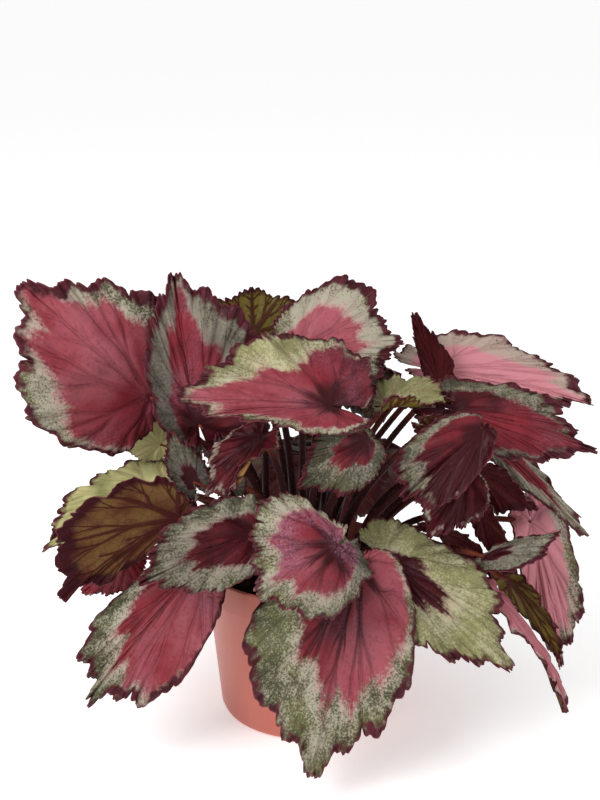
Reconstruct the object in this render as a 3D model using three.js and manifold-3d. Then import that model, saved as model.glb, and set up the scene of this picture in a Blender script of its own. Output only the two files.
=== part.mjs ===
// A rex begonia in a nursery pot. The pot, the soil, the creeping rhizome and each leaf are pieces of
// their own; a leaf is its blade and its stalk, grown as one. Millimetres, +Z up.
// The origin is the middle of the pot's flat underside, and the plant's best side looks along -Y.
import * as THREE from "three";
import { mergeVertices } from "three/addons/utils/BufferGeometryUtils.js";
import Module from "manifold-3d";

const wasm = await Module();
wasm.setup();

// ---- driving dimensions ----
const POT_HEIGHT = 100;
const POT_FOOT_RADIUS = 53;
const POT_BODY_RADIUS = 61; // where the wall runs in under the collar
const COLLAR_RADIUS = 65;
const COLLAR_DROP = 17; // how far the collar's lower edge lies below the rim
const COLLAR_TAPER = 0.6;
const RIM_ROUND = 0.9;
const WALL = 1.6;
const FOOT_ROUND = 5;
const POT_SIDES = 32;
const DRAIN_HOLES = 6;
const DRAIN_RADIUS = 4;
const DRAIN_CIRCLE = 32;
const DRAIN_SIDES = 10;

const SOIL_TOP = 86;
const SOIL_MOUND = 5; // how much higher the soil is in the middle
const SOIL_EDGE_DROP = 4; // and how much lower against the pot
const GAP = 0.4; // between soil and pot, and round what stands in the soil

const RHIZOME_RADIUS = 4.5;
const RHIZOME_KNOB = 0.4; // how far its rings of old leaf scars stand out
const RHIZOME_STEPS = 18;
const RHIZOME_SIDES = 7;

const BLADE_THICK = 0.9;
const SINUS = THREE.MathUtils.degToRad(11); // half the notch where the basal lobes leave the stalk
const LOBE_REACH = 0.55; // the round back of a blade, as a share of its midrib
const SHOULDER_REACH = 0.4; // how much further its front reaches
const POINT_REACH = 0.05; // and its drawn-out tip
const SHOULDER_ANGLE = 0.58; // how wide the front and the tip are, in radians either side of the midrib
const POINT_ANGLE = 0.1;
const TOOTH = [0.03, 0.065]; // least and most depth of a tooth
const NOTCH = 0.6; // depth of a notch beside its tooth
const RIB_ROUND = 3; // how wide the fold along the midrib is

const STALK_ROOT_RADIUS = 2.7;
const STALK_TIP_RADIUS = 1.6;
const STALK_SIDES = 5;
const STALK_STEPS = 4;
const ROOT_DEPTH = 12; // how deep a stalk stands in the soil
const HIGH_BLADE = 245; // heights of the highest and the lowest blades
const LOW_BLADE = 100;
const HIGH_LEAN = 25; // how far from upright a stalk meets the highest and the lowest blades, in degrees
const LOW_LEAN = 110;
const LOW_ARCH = 60; // extra height of the arch of the lowest stalk
const LANDING = 0.3; // share of a stalk over which it takes up that lean

// ---- the outline and the curved surface of a blade ----

// Distance from the stalk to the margin at angle, as a share of the midrib's length.
// full makes the blade broader beyond its middle, and lobe scales the basal lobe of that side.
function marginReach(angle, full, lobe) {
  const a = Math.abs(angle);
  const lobes = LOBE_REACH * (1 - 0.5 * Math.pow(a / Math.PI, 4));
  const shoulder = SHOULDER_REACH * Math.exp(-Math.pow(a / SHOULDER_ANGLE, 1.3));
  const point = POINT_REACH * Math.exp(-a / POINT_ANGLE);
  const swell = a < Math.PI / 2 ? full * Math.pow(Math.sin(2 * a), 2) : 0;
  const behind = THREE.MathUtils.smoothstep(a, Math.PI / 3, 0.8 * Math.PI);
  return (lobes + shoulder + point + swell) * (1 - behind * (1 - lobe));
}

// side runs from -1 to 1 round the margin, and is 0 at the tip, where places lie closer together.
function marginAngle(side) {
  return Math.sign(side) * Math.pow(Math.abs(side), 1.4) * (Math.PI - SINUS);
}

// A number from 0 to 1 that looks random and is always the same for the same leaf and place.
function chance(seed, place) {
  const x = Math.sin(seed * 12.9898 + place * 78.233) * 43758.5453;
  return x - Math.floor(x);
}

// The frame of a blade: origin at the stalk, x along the midrib, z out of the upper face.
function bladeFrame(leaf) {
  const joint = new THREE.Vector3(...leaf.joint);
  const chord = new THREE.Vector3(...leaf.tip).sub(joint);
  const half = THREE.MathUtils.degToRad(leaf.droop) / 2;
  const length = (chord.length() * half) / Math.sin(half);
  const along = chord.normalize();
  const up = new THREE.Vector3(...leaf.face);
  up.addScaledVector(along, -up.dot(along)).normalize();
  const x = along.clone().multiplyScalar(Math.cos(half)).addScaledVector(up, Math.sin(half));
  const z = up.clone().multiplyScalar(Math.cos(half)).addScaledVector(along, -Math.sin(half));
  const y = z.clone().cross(x);
  return { joint, x, y, z, length };
}

// How high the ruffled margin stands at side.
function ruffleAt(leaf, side) {
  const wave = Math.sin(Math.PI * leaf.waves * side + leaf.seed * 1.7);
  const frill = Math.sin(Math.PI * (2.3 * leaf.waves + 1) * side + leaf.seed * 2.9);
  return leaf.ruffle * (wave + 0.35 * frill);
}

// The point of the blade's middle surface at side (-1 to 1) and reach (0 at the stalk, 1 at the margin).
function bladePoint(leaf, frame, side, reach, tooth = 0) {
  const angle = marginAngle(side);
  const half = angle > 0 ? 0 : 1;
  const far = frame.length * marginReach(angle, leaf.full, leaf.lobe[half]) * reach * (1 + tooth);
  const u = far * Math.cos(angle);
  let v = far * Math.sin(angle) * leaf.wide[half];
  let w = Math.pow(reach, 2.6) * ruffleAt(leaf, side);
  // each half folds up along the midrib
  w += Math.tan(THREE.MathUtils.degToRad(leaf.fold)) * (Math.hypot(v, RIB_ROUND) - RIB_ROUND);
  // and rolls round an axis along it
  const roll = THREE.MathUtils.degToRad(v > 0 ? leaf.roll[0] : leaf.roll[1]);
  const bend = (0.5 * frame.length * leaf.wide[half]) / roll;
  const turn = v / bend;
  v = (bend + w) * Math.sin(turn);
  w = (bend + w) * Math.cos(turn) - bend;
  // the midrib droops
  const bow = frame.length / THREE.MathUtils.degToRad(leaf.droop);
  const lean = u / bow;
  const ahead = (bow + w) * Math.sin(lean);
  const high = (bow + w) * Math.cos(lean) - bow;
  return frame.joint
    .clone()
    .addScaledVector(frame.x, ahead)
    .addScaledVector(frame.y, v)
    .addScaledVector(frame.z, high);
}

// The depth of the cut margin at a place: teeth stand out and notches go in, unevenly.
function toothAt(leaf, place) {
  if (place === leaf.cuts / 2) return 0;
  const size = THREE.MathUtils.lerp(...TOOTH, chance(leaf.seed, place));
  return place % 2 ? size : -NOTCH * size;
}

// A blade as a thin closed sheet, split into the same triangles above and below. It is laid out in
// rings from the stalk to the cut margin, each with twice as many steps as the ring inside it.
function bladeGeometry(leaf) {
  const frame = bladeFrame(leaf);
  const points = [bladePoint(leaf, frame, 0, 0)];
  const rings = leaf.rings.map((reach, ring) => {
    const steps = leaf.cuts / 2 ** (leaf.rings.length - 1 - ring);
    const start = points.length;
    for (let i = 0; i <= steps; i++) {
      const tooth = reach === 1 ? toothAt(leaf, i) : 0;
      points.push(bladePoint(leaf, frame, (2 * i) / steps - 1, reach, tooth));
    }
    return { start, end: start + steps };
  });

  const [inner] = rings;
  const margin = rings.pop();
  const faces = [];
  for (let a = inner.start; a < inner.end; a++) faces.push([0, a, a + 1]);
  rings.forEach((ring, k) => {
    const outer = rings[k + 1] ?? margin;
    for (let a = ring.start, b = outer.start; a < ring.end; a++, b += 2)
      faces.push([a, b, b + 1], [a, b + 1, a + 1], [a + 1, b + 1, b + 2]);
  });
  const rim = [0, ...rings.map((ring) => ring.start)];
  for (let a = margin.start; a <= margin.end; a++) rim.push(a);
  rim.push(...rings.map((ring) => ring.end).reverse());
  return sheetGeometry(points, faces, rim);
}

// Gives a surface its thickness, half to each side, and closes it round its rim.
function sheetGeometry(points, faces, rim) {
  const normals = points.map(() => new THREE.Vector3());
  for (const [a, b, c] of faces) {
    const normal = points[b].clone().sub(points[a]).cross(points[c].clone().sub(points[a]));
    for (const corner of [a, b, c]) normals[corner].add(normal);
  }
  const sheet = [];
  for (const offset of [BLADE_THICK / 2, -BLADE_THICK / 2])
    points.forEach((point, k) => sheet.push(point.clone().addScaledVector(normals[k].normalize(), offset)));
  const below = points.length;
  const index = [];
  for (const [a, b, c] of faces) index.push(a, b, c, below + a, below + c, below + b);
  rim.forEach((a, k) => {
    const b = rim[(k + 1) % rim.length];
    index.push(a, below + a, below + b, a, below + b, b);
  });
  return closedGeometry(sheet, index);
}

function closedGeometry(points, index) {
  return new THREE.BufferGeometry().setFromPoints(points).setIndex(index);
}

// ---- stalks and the rhizome ----

// A stalk leaves the soil upright and bends outwards in one vertical plane. It meets a high blade while
// it still rises; a low blade's stalk arches over the pot's rim and meets the blade on its way down.
function stalkCurve(leaf) {
  const joint = new THREE.Vector3(...leaf.joint);
  const base = new THREE.Vector3(...leaf.foot, SOIL_TOP - ROOT_DEPTH);
  const low = THREE.MathUtils.clamp((HIGH_BLADE - joint.z) / (HIGH_BLADE - LOW_BLADE), 0, 1);
  const lean = THREE.MathUtils.degToRad(THREE.MathUtils.lerp(HIGH_LEAN, LOW_LEAN, low));
  const outward = joint.clone().sub(base).setZ(0).normalize();
  const arrive = outward.multiplyScalar(Math.sin(lean)).setZ(Math.cos(lean));
  const first = base.clone();
  first.z += leaf.rise * (joint.z - base.z) + LOW_ARCH * Math.pow(low, 3);
  const last = joint.clone().addScaledVector(arrive, -LANDING * joint.distanceTo(base));
  return new THREE.CubicBezierCurve3(base, first, last, joint);
}

// A closed tube of rings along a curve that lies in the plane of up and its own run.
// radiusAt gives a ring's radius at a share of the length, and drop lowers its two ends.
function tubeGeometry(curve, steps, sides, across, radiusAt, drop = 0) {
  const points = [];
  for (let i = 0; i <= steps; i++) {
    const share = i / steps;
    const centre = curve.getPoint(share);
    if (i === 0 || i === steps) centre.z -= drop;
    const tangent = curve.getTangent(share);
    const up = tangent.clone().cross(across).normalize();
    const side = up.clone().cross(tangent);
    for (let k = 0; k < sides; k++) {
      const turn = (2 * Math.PI * k) / sides;
      const point = centre.clone().addScaledVector(side, radiusAt(share) * Math.cos(turn));
      points.push(point.addScaledVector(up, radiusAt(share) * Math.sin(turn)));
    }
  }
  const index = [];
  for (let i = 0; i < steps; i++)
    for (let k = 0; k < sides; k++) {
      const a = i * sides + k;
      const b = i * sides + ((k + 1) % sides);
      index.push(a, b, b + sides, a, b + sides, a + sides);
    }
  const end = steps * sides;
  for (let k = 1; k < sides - 1; k++) index.push(0, k + 1, k, end, end + k, end + k + 1);
  return closedGeometry(points, index);
}

// The stalk's tube, or with a gap the socket that it stands in.
function stalkGeometry(leaf, gap = 0) {
  const curve = stalkCurve(leaf);
  const across = new THREE.Vector3(0, 0, 1).cross(curve.v3.clone().sub(curve.v0)).normalize();
  const radiusAt = (share) => gap + THREE.MathUtils.lerp(STALK_ROOT_RADIUS, STALK_TIP_RADIUS, share);
  return tubeGeometry(curve, STALK_STEPS, STALK_SIDES, across, radiusAt, gap);
}

// The creeping stem lies across the soil behind the stalks, half sunk, and dives in at both ends.
const rhizomePath = [
  [-42, 17, 79],
  [-34, 21, 86],
  [-20, 21, 88],
  [-6, 22.5, 89],
  [10, 22.5, 89],
  [26, 22, 88],
  [38, 26, 85],
  [44, 28, 79],
];

function rhizomeGeometry(gap = 0) {
  const curve = new THREE.CatmullRomCurve3(rhizomePath.map((point) => new THREE.Vector3(...point)));
  const across = new THREE.Vector3(0, 1, 0);
  const radiusAt = (share) => {
    const knob = RHIZOME_KNOB * Math.cos(Math.PI * RHIZOME_STEPS * share);
    const ends = Math.pow(Math.sin(Math.PI * THREE.MathUtils.clamp(share, 0.02, 0.98)), 0.3);
    return gap + ends * (RHIZOME_RADIUS + knob);
  };
  return tubeGeometry(curve, RHIZOME_STEPS, RHIZOME_SIDES, across, radiusAt, gap);
}

// ---- joining and cutting ----

function solidOf(geometry) {
  const bare = geometry.clone();
  for (const name of ["normal", "uv"]) bare.deleteAttribute(name);
  const merged = mergeVertices(bare, 1e-4);
  const vertProperties = new Float32Array(merged.attributes.position.array);
  const triVerts = new Uint32Array(merged.index.array);
  return new wasm.Manifold(new wasm.Mesh({ numProp: 3, vertProperties, triVerts }));
}

function geometryOf(solid) {
  const mesh = solid.getMesh();
  const places = new Float32Array(mesh.numVert * 3);
  for (let i = 0; i < mesh.numVert; i++)
    places.set(mesh.vertProperties.subarray(i * mesh.numProp, i * mesh.numProp + 3), 3 * i);
  const geometry = new THREE.BufferGeometry();
  geometry.setAttribute("position", new THREE.BufferAttribute(places, 3));
  geometry.setIndex(new THREE.BufferAttribute(mesh.triVerts, 1));
  geometry.computeVertexNormals();
  return geometry;
}

// ---- the leaves ----
// joint: where the stalk meets the blade; tip: the blade's point; face: the way the upper face looks;
// wide: half widths, to the left of the midrib seen from above with the tip ahead, and to the right;
// lobe: size of the basal lobes, likewise; full: extra breadth beyond the middle;
// droop, fold and roll (left, right): bends in degrees; ruffle: height of the margin's waves;
// waves: how many; cuts: steps round the margin, two to a tooth; rings: shares of the way out to it;
// foot: the stalk's place in the soil; rise: the height up to which it stays upright, as a share.
const PLAIN_LEAF = {
  wide: [0.75, 0.75], full: 0.08, lobe: [1, 1], droop: 28, fold: 6, roll: [10, 10],
  ruffle: 3, waves: 5, cuts: 32, rings: [0.36, 0.72, 1], rise: 0.45, colour: "pink",
};
const SMALL_LEAF = { ...PLAIN_LEAF, ruffle: 1.5, waves: 4, cuts: 20, rings: [0.55, 1] };
const BACK_LEAF = { ...PLAIN_LEAF, lobe: [0.7, 0.7], cuts: 20, rings: [0.55, 1] };

const leaves = [];
function leaf(name, shape, plain = PLAIN_LEAF) {
  leaves.push({ ...plain, ...shape, name, seed: leaves.length + 1 });
}

// the front, from the left to the right
leaf("front_low", {
  joint: [30, -75, 128], tip: [4, -122, 22], face: [-0.1, -0.85, 0.45], foot: [18, -44],
  wide: [0.54, 0.68], full: 0.18, lobe: [0.2, 0.3], droop: 24,
});
leaf("front_heart", {
  joint: [17, -108, 154], tip: [-25, -132, 135], face: [-0.15, -0.9, 0.45], foot: [4, -34],
  wide: [0.9, 1.15], full: 0.2, lobe: [0.8, 0.5], droop: 50, rise: 0.85, colour: "silver",
});
leaf("silver_left", {
  joint: [-26, -88, 153], tip: [-90, -110, 133], face: [-0.1, -0.8, 0.5], foot: [-6, -40],
  wide: [0.52, 0.6], full: 0.14, lobe: [0.8, 0.6], droop: 20, colour: "silver",
});
leaf("low_left", {
  joint: [-59, -58, 121], tip: [-123, -87, 48], face: [-0.1, -0.8, 0.5], foot: [-30, -31],
  wide: [0.44, 0.35], full: 0.34, lobe: [0.45, 0.5], droop: 20,
});
leaf("silver_low_right", {
  joint: [45, -63, 125], tip: [114, -97, 74], face: [0.2, -0.75, 0.55], foot: [30, -38],
  wide: [0.58, 0.48], full: 0.14, lobe: [0.7, 0.35], droop: 20, colour: "silver",
});
leaf("folded_left", {
  joint: [-72, -62, 150], tip: [-137, -82, 110], face: [0.1, 0.8, 0.55], foot: [-23, -25],
  wide: [0.95, 0.3], full: 0.2, lobe: [0.5, 0.4], droop: 30, colour: "olive",
});
leaf("pale_left", {
  joint: [-84, -30, 156], tip: [-153, -48, 125], face: [0, -0.6, 0.75], foot: [-31, -9],
  wide: [0.5, 0.58], full: 0.1, lobe: [0.7, 0.5], colour: "pale",
});
leaf("amber_fold", {
  joint: [-25, -62, 199], tip: [-55, -73, 168], face: [-0.2, -0.8, 0.5], foot: [-8, -24],
  wide: [0.8, 0.6], lobe: [0.6, 0.6], roll: [-80, 10], colour: "red",
});
leaf("dull_middle", {
  joint: [33, -81, 204], tip: [-3, -86, 178], face: [0, -0.9, 0.3], foot: [7, -26],
  wide: [0.8, 0.75], lobe: [0.3, 0.3], colour: "wine",
});
leaf("wine_right", {
  joint: [96, -76, 209], tip: [52, -90, 173], face: [-0.2, -0.85, 0.4], foot: [20, -26],
  wide: [0.42, 0.46], full: 0.4, lobe: [0.2, 0.1], colour: "wine",
});
leaf("wine_under", {
  joint: [92, -55, 174], tip: [69, -64, 140], face: [0, -0.8, 0.5], foot: [29, -19],
  wide: [0.8, 0.8], lobe: [0.3, 0.3], colour: "wine",
});

// the crown
leaf("crown_front", {
  joint: [13, -85, 224], tip: [-67, -108, 234], face: [-0.05, -0.7, 0.7], foot: [1, -20],
  wide: [0.38, 0.95], full: 0, lobe: [0.8, 1], droop: 22,
});
leaf("upper_left", {
  joint: [-89, -32, 213], tip: [-153, -62, 286], face: [-0.15, -0.85, 0.45], foot: [-15, -3],
  wide: [0.88, 0.7], full: 0.12, lobe: [0.5, 0.7], droop: 20,
});
leaf("pink_upright", {
  joint: [-60, -50, 202], tip: [-73, -42, 287], face: [0, -0.9, 0.35], foot: [-13, -13],
  wide: [0.42, 0.78], full: 0.17, lobe: [0.8, 0.8], droop: 50,
});
leaf("olive_top", {
  joint: [-31, 0, 242], tip: [-32, 10, 268], face: [0, 1, 0.2], foot: [-6, 3],
  wide: [1.7, 1.6], full: 0.2, lobe: [0.6, 0.6], colour: "olive",
}, SMALL_LEAF);
leaf("silver_top", {
  joint: [-3, -42, 243], tip: [54, -26, 244], face: [0, -0.85, 0.4], foot: [-1, -7],
  wide: [0.96, 0.6], full: 0.25, lobe: [0.7, 0.6], colour: "silver",
});
leaf("olive_fold", {
  joint: [46, -48, 213], tip: [83, -50, 216], face: [0, -0.5, 0.85], foot: [6, -14],
  wide: [1.0, 0.8], lobe: [0.7, 0.6], roll: [10, -100], colour: "olive",
});
leaf("upper_right", {
  joint: [78, 2, 219], tip: [173, 4, 198], face: [0, -0.75, 0.65], foot: [10, 5],
  wide: [0.48, 0.2], lobe: [0.7, 0.5], roll: [10, 120],
});
leaf("red_sail", {
  joint: [79, -14, 214], tip: [62, -6, 256], face: [0.3, 0.9, 0.2], foot: [20, 1],
  wide: [0.42, 0.3], colour: "red",
}, SMALL_LEAF);

// the right-hand side
leaf("right_main", {
  joint: [83, -44, 209], tip: [163, -53, 187], face: [0, -0.75, 0.65], foot: [14, -6],
  wide: [0.48, 0.45], full: 0.12, lobe: [0.7, 0.7],
});
leaf("right_fold", {
  joint: [70, -59, 203], tip: [92, -63, 182], face: [0.5, 0.8, 0.4], foot: [15, -17],
  wide: [0.75, 0.75], lobe: [0.9, 0.9], colour: "red",
}, SMALL_LEAF);
leaf("right_edge", {
  joint: [103, -22, 188], tip: [166, -28, 125], face: [0.3, -0.8, 0.5], foot: [29, 3],
  wide: [0.17, 0.18], full: 0.1, lobe: [0.4, 0.4],
});
leaf("under_right", {
  joint: [95, -44, 175], tip: [134, -48, 149], face: [0.3, 0.85, 0.4], foot: [27, -9],
  wide: [1.2, 0.3], lobe: [0.4, 0.4], colour: "wine",
}, SMALL_LEAF);
leaf("far_right_low", {
  joint: [137, -14, 128], tip: [156, -32, 40], face: [0.15, -0.9, 0.35], foot: [46, 3],
  wide: [0.42, 0.28], full: 0.1, lobe: [0.9, 0.7],
});
leaf("strap_high", {
  joint: [102, -42, 145], tip: [118, -52, 110], face: [0.3, 0.8, 0.3], foot: [37, -6],
  wide: [0.4, 0.4], colour: "red",
}, SMALL_LEAF);
leaf("strap_low", {
  joint: [81, -36, 131], tip: [111, -45, 104], face: [0.3, 0.8, 0.5], foot: [44, -16],
  wide: [0.4, 0.4], colour: "wine",
}, SMALL_LEAF);
leaf("dark_sliver", {
  joint: [103, -56, 124], tip: [146, -58, 139], face: [0, -0.45, 0.9], foot: [36, -22],
  wide: [0.1, 0.6], full: 0.2, lobe: [0.4, 0.4], colour: "wine",
}, SMALL_LEAF);
leaf("olive_low", {
  joint: [120, -40, 102], tip: [151, -56, 58], face: [0.6, 0.7, 0.3], foot: [47, -9],
  wide: [0.4, 0.4], lobe: [0.7, 0.7], colour: "olive",
}, SMALL_LEAF);
leaf("pink_sliver", {
  joint: [107, -56, 104], tip: [152, -76, 34], face: [0.82, -0.1, 0.57], foot: [46, -26],
  wide: [0.3, 0.3], lobe: [0.6, 0.6],
}, SMALL_LEAF);

// small and young leaves
leaf("pale_small", {
  joint: [-86, -15, 178], tip: [-110, -11, 183], face: [0, -0.8, 0.5], foot: [-24, 1],
  wide: [0.9, 0.9], lobe: [0.7, 0.7], colour: "pale",
}, SMALL_LEAF);
leaf("pink_tuck", {
  joint: [-70, -50, 160], tip: [-104, -58, 156], face: [0, -0.7, 0.7], foot: [-24, -16],
  wide: [0.5, 0.5], lobe: [0.7, 0.7],
}, SMALL_LEAF);
leaf("young_left", {
  joint: [-63, -64, 173], tip: [-75, -69, 205], face: [0, -0.9, 0.3], foot: [-15, -37],
  wide: [0.55, 0.55], colour: "wine",
}, SMALL_LEAF);
leaf("young_right", {
  joint: [-43, -50, 167], tip: [-49, -53, 199], face: [0, -0.9, 0.3], foot: [-12, -31],
  wide: [0.55, 0.55], colour: "wine",
}, SMALL_LEAF);
leaf("red_scrap", {
  joint: [-106, -40, 115], tip: [-131, -48, 97], face: [0, -0.9, 0.3], foot: [-41, -16],
  wide: [0.8, 0.7], colour: "red",
}, SMALL_LEAF);

// the back
leaf("back_left", {
  joint: [-70, 34, 195], tip: [-138, 66, 178], face: [-0.4, 0.3, 0.85], foot: [-16, 9],
  colour: "silver",
}, BACK_LEAF);
leaf("back_left_low", {
  joint: [-80, 25, 155], tip: [-145, 60, 100], face: [-0.5, 0.3, 0.6], foot: [-31, 10],
}, BACK_LEAF);
leaf("back_middle_left", {
  joint: [-32, 58, 208], tip: [-52, 122, 142], face: [-0.2, 0.5, 0.8], foot: [-7, 14],
  wide: [0.52, 0.7],
}, BACK_LEAF);
leaf("back_middle", {
  joint: [33, 60, 208], tip: [52, 124, 142], face: [0.1, 0.5, 0.8], foot: [4, 13],
  wide: [0.7, 0.42], colour: "silver",
}, BACK_LEAF);
leaf("back_right", {
  joint: [62, 45, 190], tip: [120, 95, 160], face: [0.4, 0.4, 0.8], foot: [15, 13],
  lobe: [1, 1],
}, BACK_LEAF);
leaf("back_right_low", {
  joint: [88, 28, 150], tip: [148, 68, 95], face: [0.5, 0.4, 0.6], foot: [30, 12],
  lobe: [1, 1], colour: "silver",
}, BACK_LEAF);
leaf("back_low_left", {
  joint: [-20, 68, 150], tip: [-35, 135, 80], face: [-0.1, 0.8, 0.5], foot: [-8, 31],
  lobe: [0.7, 0.4], colour: "wine",
}, BACK_LEAF);
leaf("back_low_right", {
  joint: [38, 68, 152], tip: [64, 124, 78], face: [0.3, 0.7, 0.5], foot: [14, 32],
  wide: [0.75, 0.55], lobe: [0.7, 0.4],
}, BACK_LEAF);
leaf("back_low_middle", {
  joint: [14, 76, 136], tip: [22, 112, 56], face: [0, 0.8, 0.5], foot: [4, 38],
  wide: [0.9, 0.78], lobe: [0.5, 0.5], colour: "wine",
}, BACK_LEAF);
leaf("crown_back_left", {
  joint: [-24, 20, 228], tip: [-66, 62, 226], face: [-0.2, 0.25, 0.9], foot: [-24, 9],
}, BACK_LEAF);
leaf("crown_back_right", {
  joint: [24, 20, 230], tip: [46, 74, 212], face: [0.15, 0.25, 0.9], foot: [2, 4],
  colour: "silver",
}, BACK_LEAF);
leaf("back_high_middle", {
  joint: [5, 80, 190], tip: [5, 128, 126], face: [0, 0.8, 0.5], foot: [13, 50],
  wide: [0.45, 0.42], lobe: [0.2, 0.15],
}, BACK_LEAF);


// ---- pot and soil ----

function turnedSolid(profile) {
  const corners = profile.map(([x, z]) => new THREE.Vector2(x, z));
  return solidOf(new THREE.LatheGeometry(corners, POT_SIDES).rotateX(Math.PI / 2));
}

function potSolid() {
  const collarBottom = POT_HEIGHT - COLLAR_DROP;
  let pot = turnedSolid([
    [0, 0],
    [POT_FOOT_RADIUS - FOOT_ROUND, 0],
    [POT_FOOT_RADIUS - 0.3 * FOOT_ROUND, 0.3 * FOOT_ROUND],
    [POT_FOOT_RADIUS, FOOT_ROUND],
    [POT_BODY_RADIUS, collarBottom],
    [COLLAR_RADIUS - COLLAR_TAPER, collarBottom],
    [COLLAR_RADIUS, POT_HEIGHT - RIM_ROUND],
    [COLLAR_RADIUS - RIM_ROUND, POT_HEIGHT],
    [COLLAR_RADIUS - WALL, POT_HEIGHT],
    [COLLAR_RADIUS - COLLAR_TAPER - WALL, collarBottom + WALL],
    [POT_BODY_RADIUS - WALL, collarBottom],
    [POT_FOOT_RADIUS - WALL, FOOT_ROUND],
    [POT_FOOT_RADIUS - FOOT_ROUND, WALL],
    [0, WALL],
  ]);
  for (let i = 0; i < DRAIN_HOLES; i++) {
    const turn = (2 * Math.PI * (i + 0.5)) / DRAIN_HOLES;
    const drill = new THREE.CylinderGeometry(DRAIN_RADIUS, DRAIN_RADIUS, 4 * WALL, DRAIN_SIDES);
    drill.rotateX(Math.PI / 2);
    drill.translate(DRAIN_CIRCLE * Math.cos(turn), DRAIN_CIRCLE * Math.sin(turn), 0);
    pot = pot.subtract(solidOf(drill));
  }
  return pot;
}

function soilSolid() {
  const edge = SOIL_TOP - SOIL_EDGE_DROP;
  const floor = WALL + GAP;
  const radius = POT_BODY_RADIUS - WALL - 2 * GAP;
  return turnedSolid([
    [0, floor],
    [POT_FOOT_RADIUS - FOOT_ROUND - GAP, floor],
    [POT_FOOT_RADIUS - WALL - GAP, FOOT_ROUND + GAP],
    [radius, edge],
    [0.75 * radius, SOIL_TOP - 1],
    [0.4 * radius, SOIL_TOP + 0.6 * SOIL_MOUND],
    [0, SOIL_TOP + SOIL_MOUND],
  ]);
}

// ---- materials and the finished plant ----

function matt(color, roughness) {
  return new THREE.MeshStandardMaterial({ color, roughness, metalness: 0 });
}

const potPlastic = matt(0xc9745f, 0.45);
const soilEarth = matt(0x2b1c14, 0.95);
const rhizomeBark = matt(0x5a3c22, 0.8);
const bladeColours = {
  pink: 0xa2455a, silver: 0x9a968c, olive: 0x6f6a35, pale: 0xa9a468, red: 0x8c2f35, wine: 0x571a26,
};

function piece(name, solid, material) {
  const mesh = new THREE.Mesh(geometryOf(solid), material);
  mesh.name = name;
  return mesh;
}

const plant = new THREE.Group();
plant.add(piece("pot", potSolid(), potPlastic));
plant.add(piece("rhizome", solidOf(rhizomeGeometry()), rhizomeBark));

let soil = soilSolid().subtract(solidOf(rhizomeGeometry(GAP)));
for (const one of leaves) {
  soil = soil.subtract(solidOf(stalkGeometry(one, GAP)));
  const solid = solidOf(bladeGeometry(one)).add(solidOf(stalkGeometry(one)));
  plant.add(piece("leaf_" + one.name, solid, matt(bladeColours[one.colour], 0.5)));
}
plant.add(piece("soil", soil, soilEarth));

export default plant;
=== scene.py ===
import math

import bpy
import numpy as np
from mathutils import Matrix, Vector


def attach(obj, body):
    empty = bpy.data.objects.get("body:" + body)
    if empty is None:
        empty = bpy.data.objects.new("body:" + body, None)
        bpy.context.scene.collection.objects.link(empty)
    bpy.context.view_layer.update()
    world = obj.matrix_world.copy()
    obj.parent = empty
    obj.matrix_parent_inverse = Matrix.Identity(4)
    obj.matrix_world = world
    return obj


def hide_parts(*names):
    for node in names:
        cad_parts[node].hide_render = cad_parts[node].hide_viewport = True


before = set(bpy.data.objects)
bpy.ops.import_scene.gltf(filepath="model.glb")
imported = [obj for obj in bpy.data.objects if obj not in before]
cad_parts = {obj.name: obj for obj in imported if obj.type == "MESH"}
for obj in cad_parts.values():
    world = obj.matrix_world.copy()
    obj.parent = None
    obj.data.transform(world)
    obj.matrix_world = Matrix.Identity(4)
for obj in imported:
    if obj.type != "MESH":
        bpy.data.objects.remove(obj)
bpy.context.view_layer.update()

# %% [markdown]
# A rex begonia in a nursery pot, dressed for a close look. The CAD frame gives the place and the size
# of every piece: the pot, the soil, the creeping rhizome, and one solid for each leaf. The solids could be
# subdivided, but their facets would stay, so each is replaced here by a finer piece of the same form.
# Lengths are written in millimetres, as a grower would measure them, and turned into metres for Blender.

MM = 0.001
SHUFFLE = (12.9898, 78.233, 43758.5453)  # numbers with no common pattern


def chance(seed, place):
    """A number from 0 to 1 that looks random and is always the same for the same seed and place."""
    x = np.sin(seed * SHUFFLE[0] + np.asarray(place) * SHUFFLE[1]) * SHUFFLE[2]
    return x - np.floor(x)


def smooth(low, high, x):
    """0 below low, 1 above high, and an S-curve between them."""
    t = np.clip((x - low) / (high - low), 0, 1)
    return t * t * (3 - 2 * t)


def between(pair, share):
    """The number that lies at a share of the way from the first of a pair to the second."""
    return pair[0] + (pair[1] - pair[0]) * share


# %% [markdown]
# The camera stands a little above the plant and looks down on it, from far enough away that the leaves
# at the front aren't swollen. Its place, its pitch and its lens could be found by trial, but the pot
# gives them: its rim and its foot have to land where the photograph has them.

# %% Camera
CAMERA_PLACE = Vector((-3, -766, 441)) * MM
CAMERA_PITCH = math.radians(17.4)
CAMERA_LENS = 60.3


def added(operator, **settings):
    """Runs an operator that adds something, with nothing else selected, and hands back the new object."""
    bpy.ops.object.select_all(action="DESELECT")
    operator(**settings)
    return bpy.context.object


camera = added(bpy.ops.object.camera_add, location=CAMERA_PLACE, rotation=(math.pi / 2 - CAMERA_PITCH, 0, 0))
camera.data.lens = CAMERA_LENS
bpy.context.scene.camera = camera
print("camera at", [round(c / MM) for c in camera.location], "lens", camera.data.lens)

# %% [markdown]
# The light is a photographer's white sweep: a bright even surround, a big soft box to the upper left in
# front, and a weaker one on the right. A small lamp or a sun would give hard shadows. A big lamp softens
# their edges, and the surround keeps the deep folds between the leaves from going black.

# %% Lights
LIT_POINT = Vector((0, 0, 160)) * MM
bpy.context.scene.view_settings.view_transform = "Standard"


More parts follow.
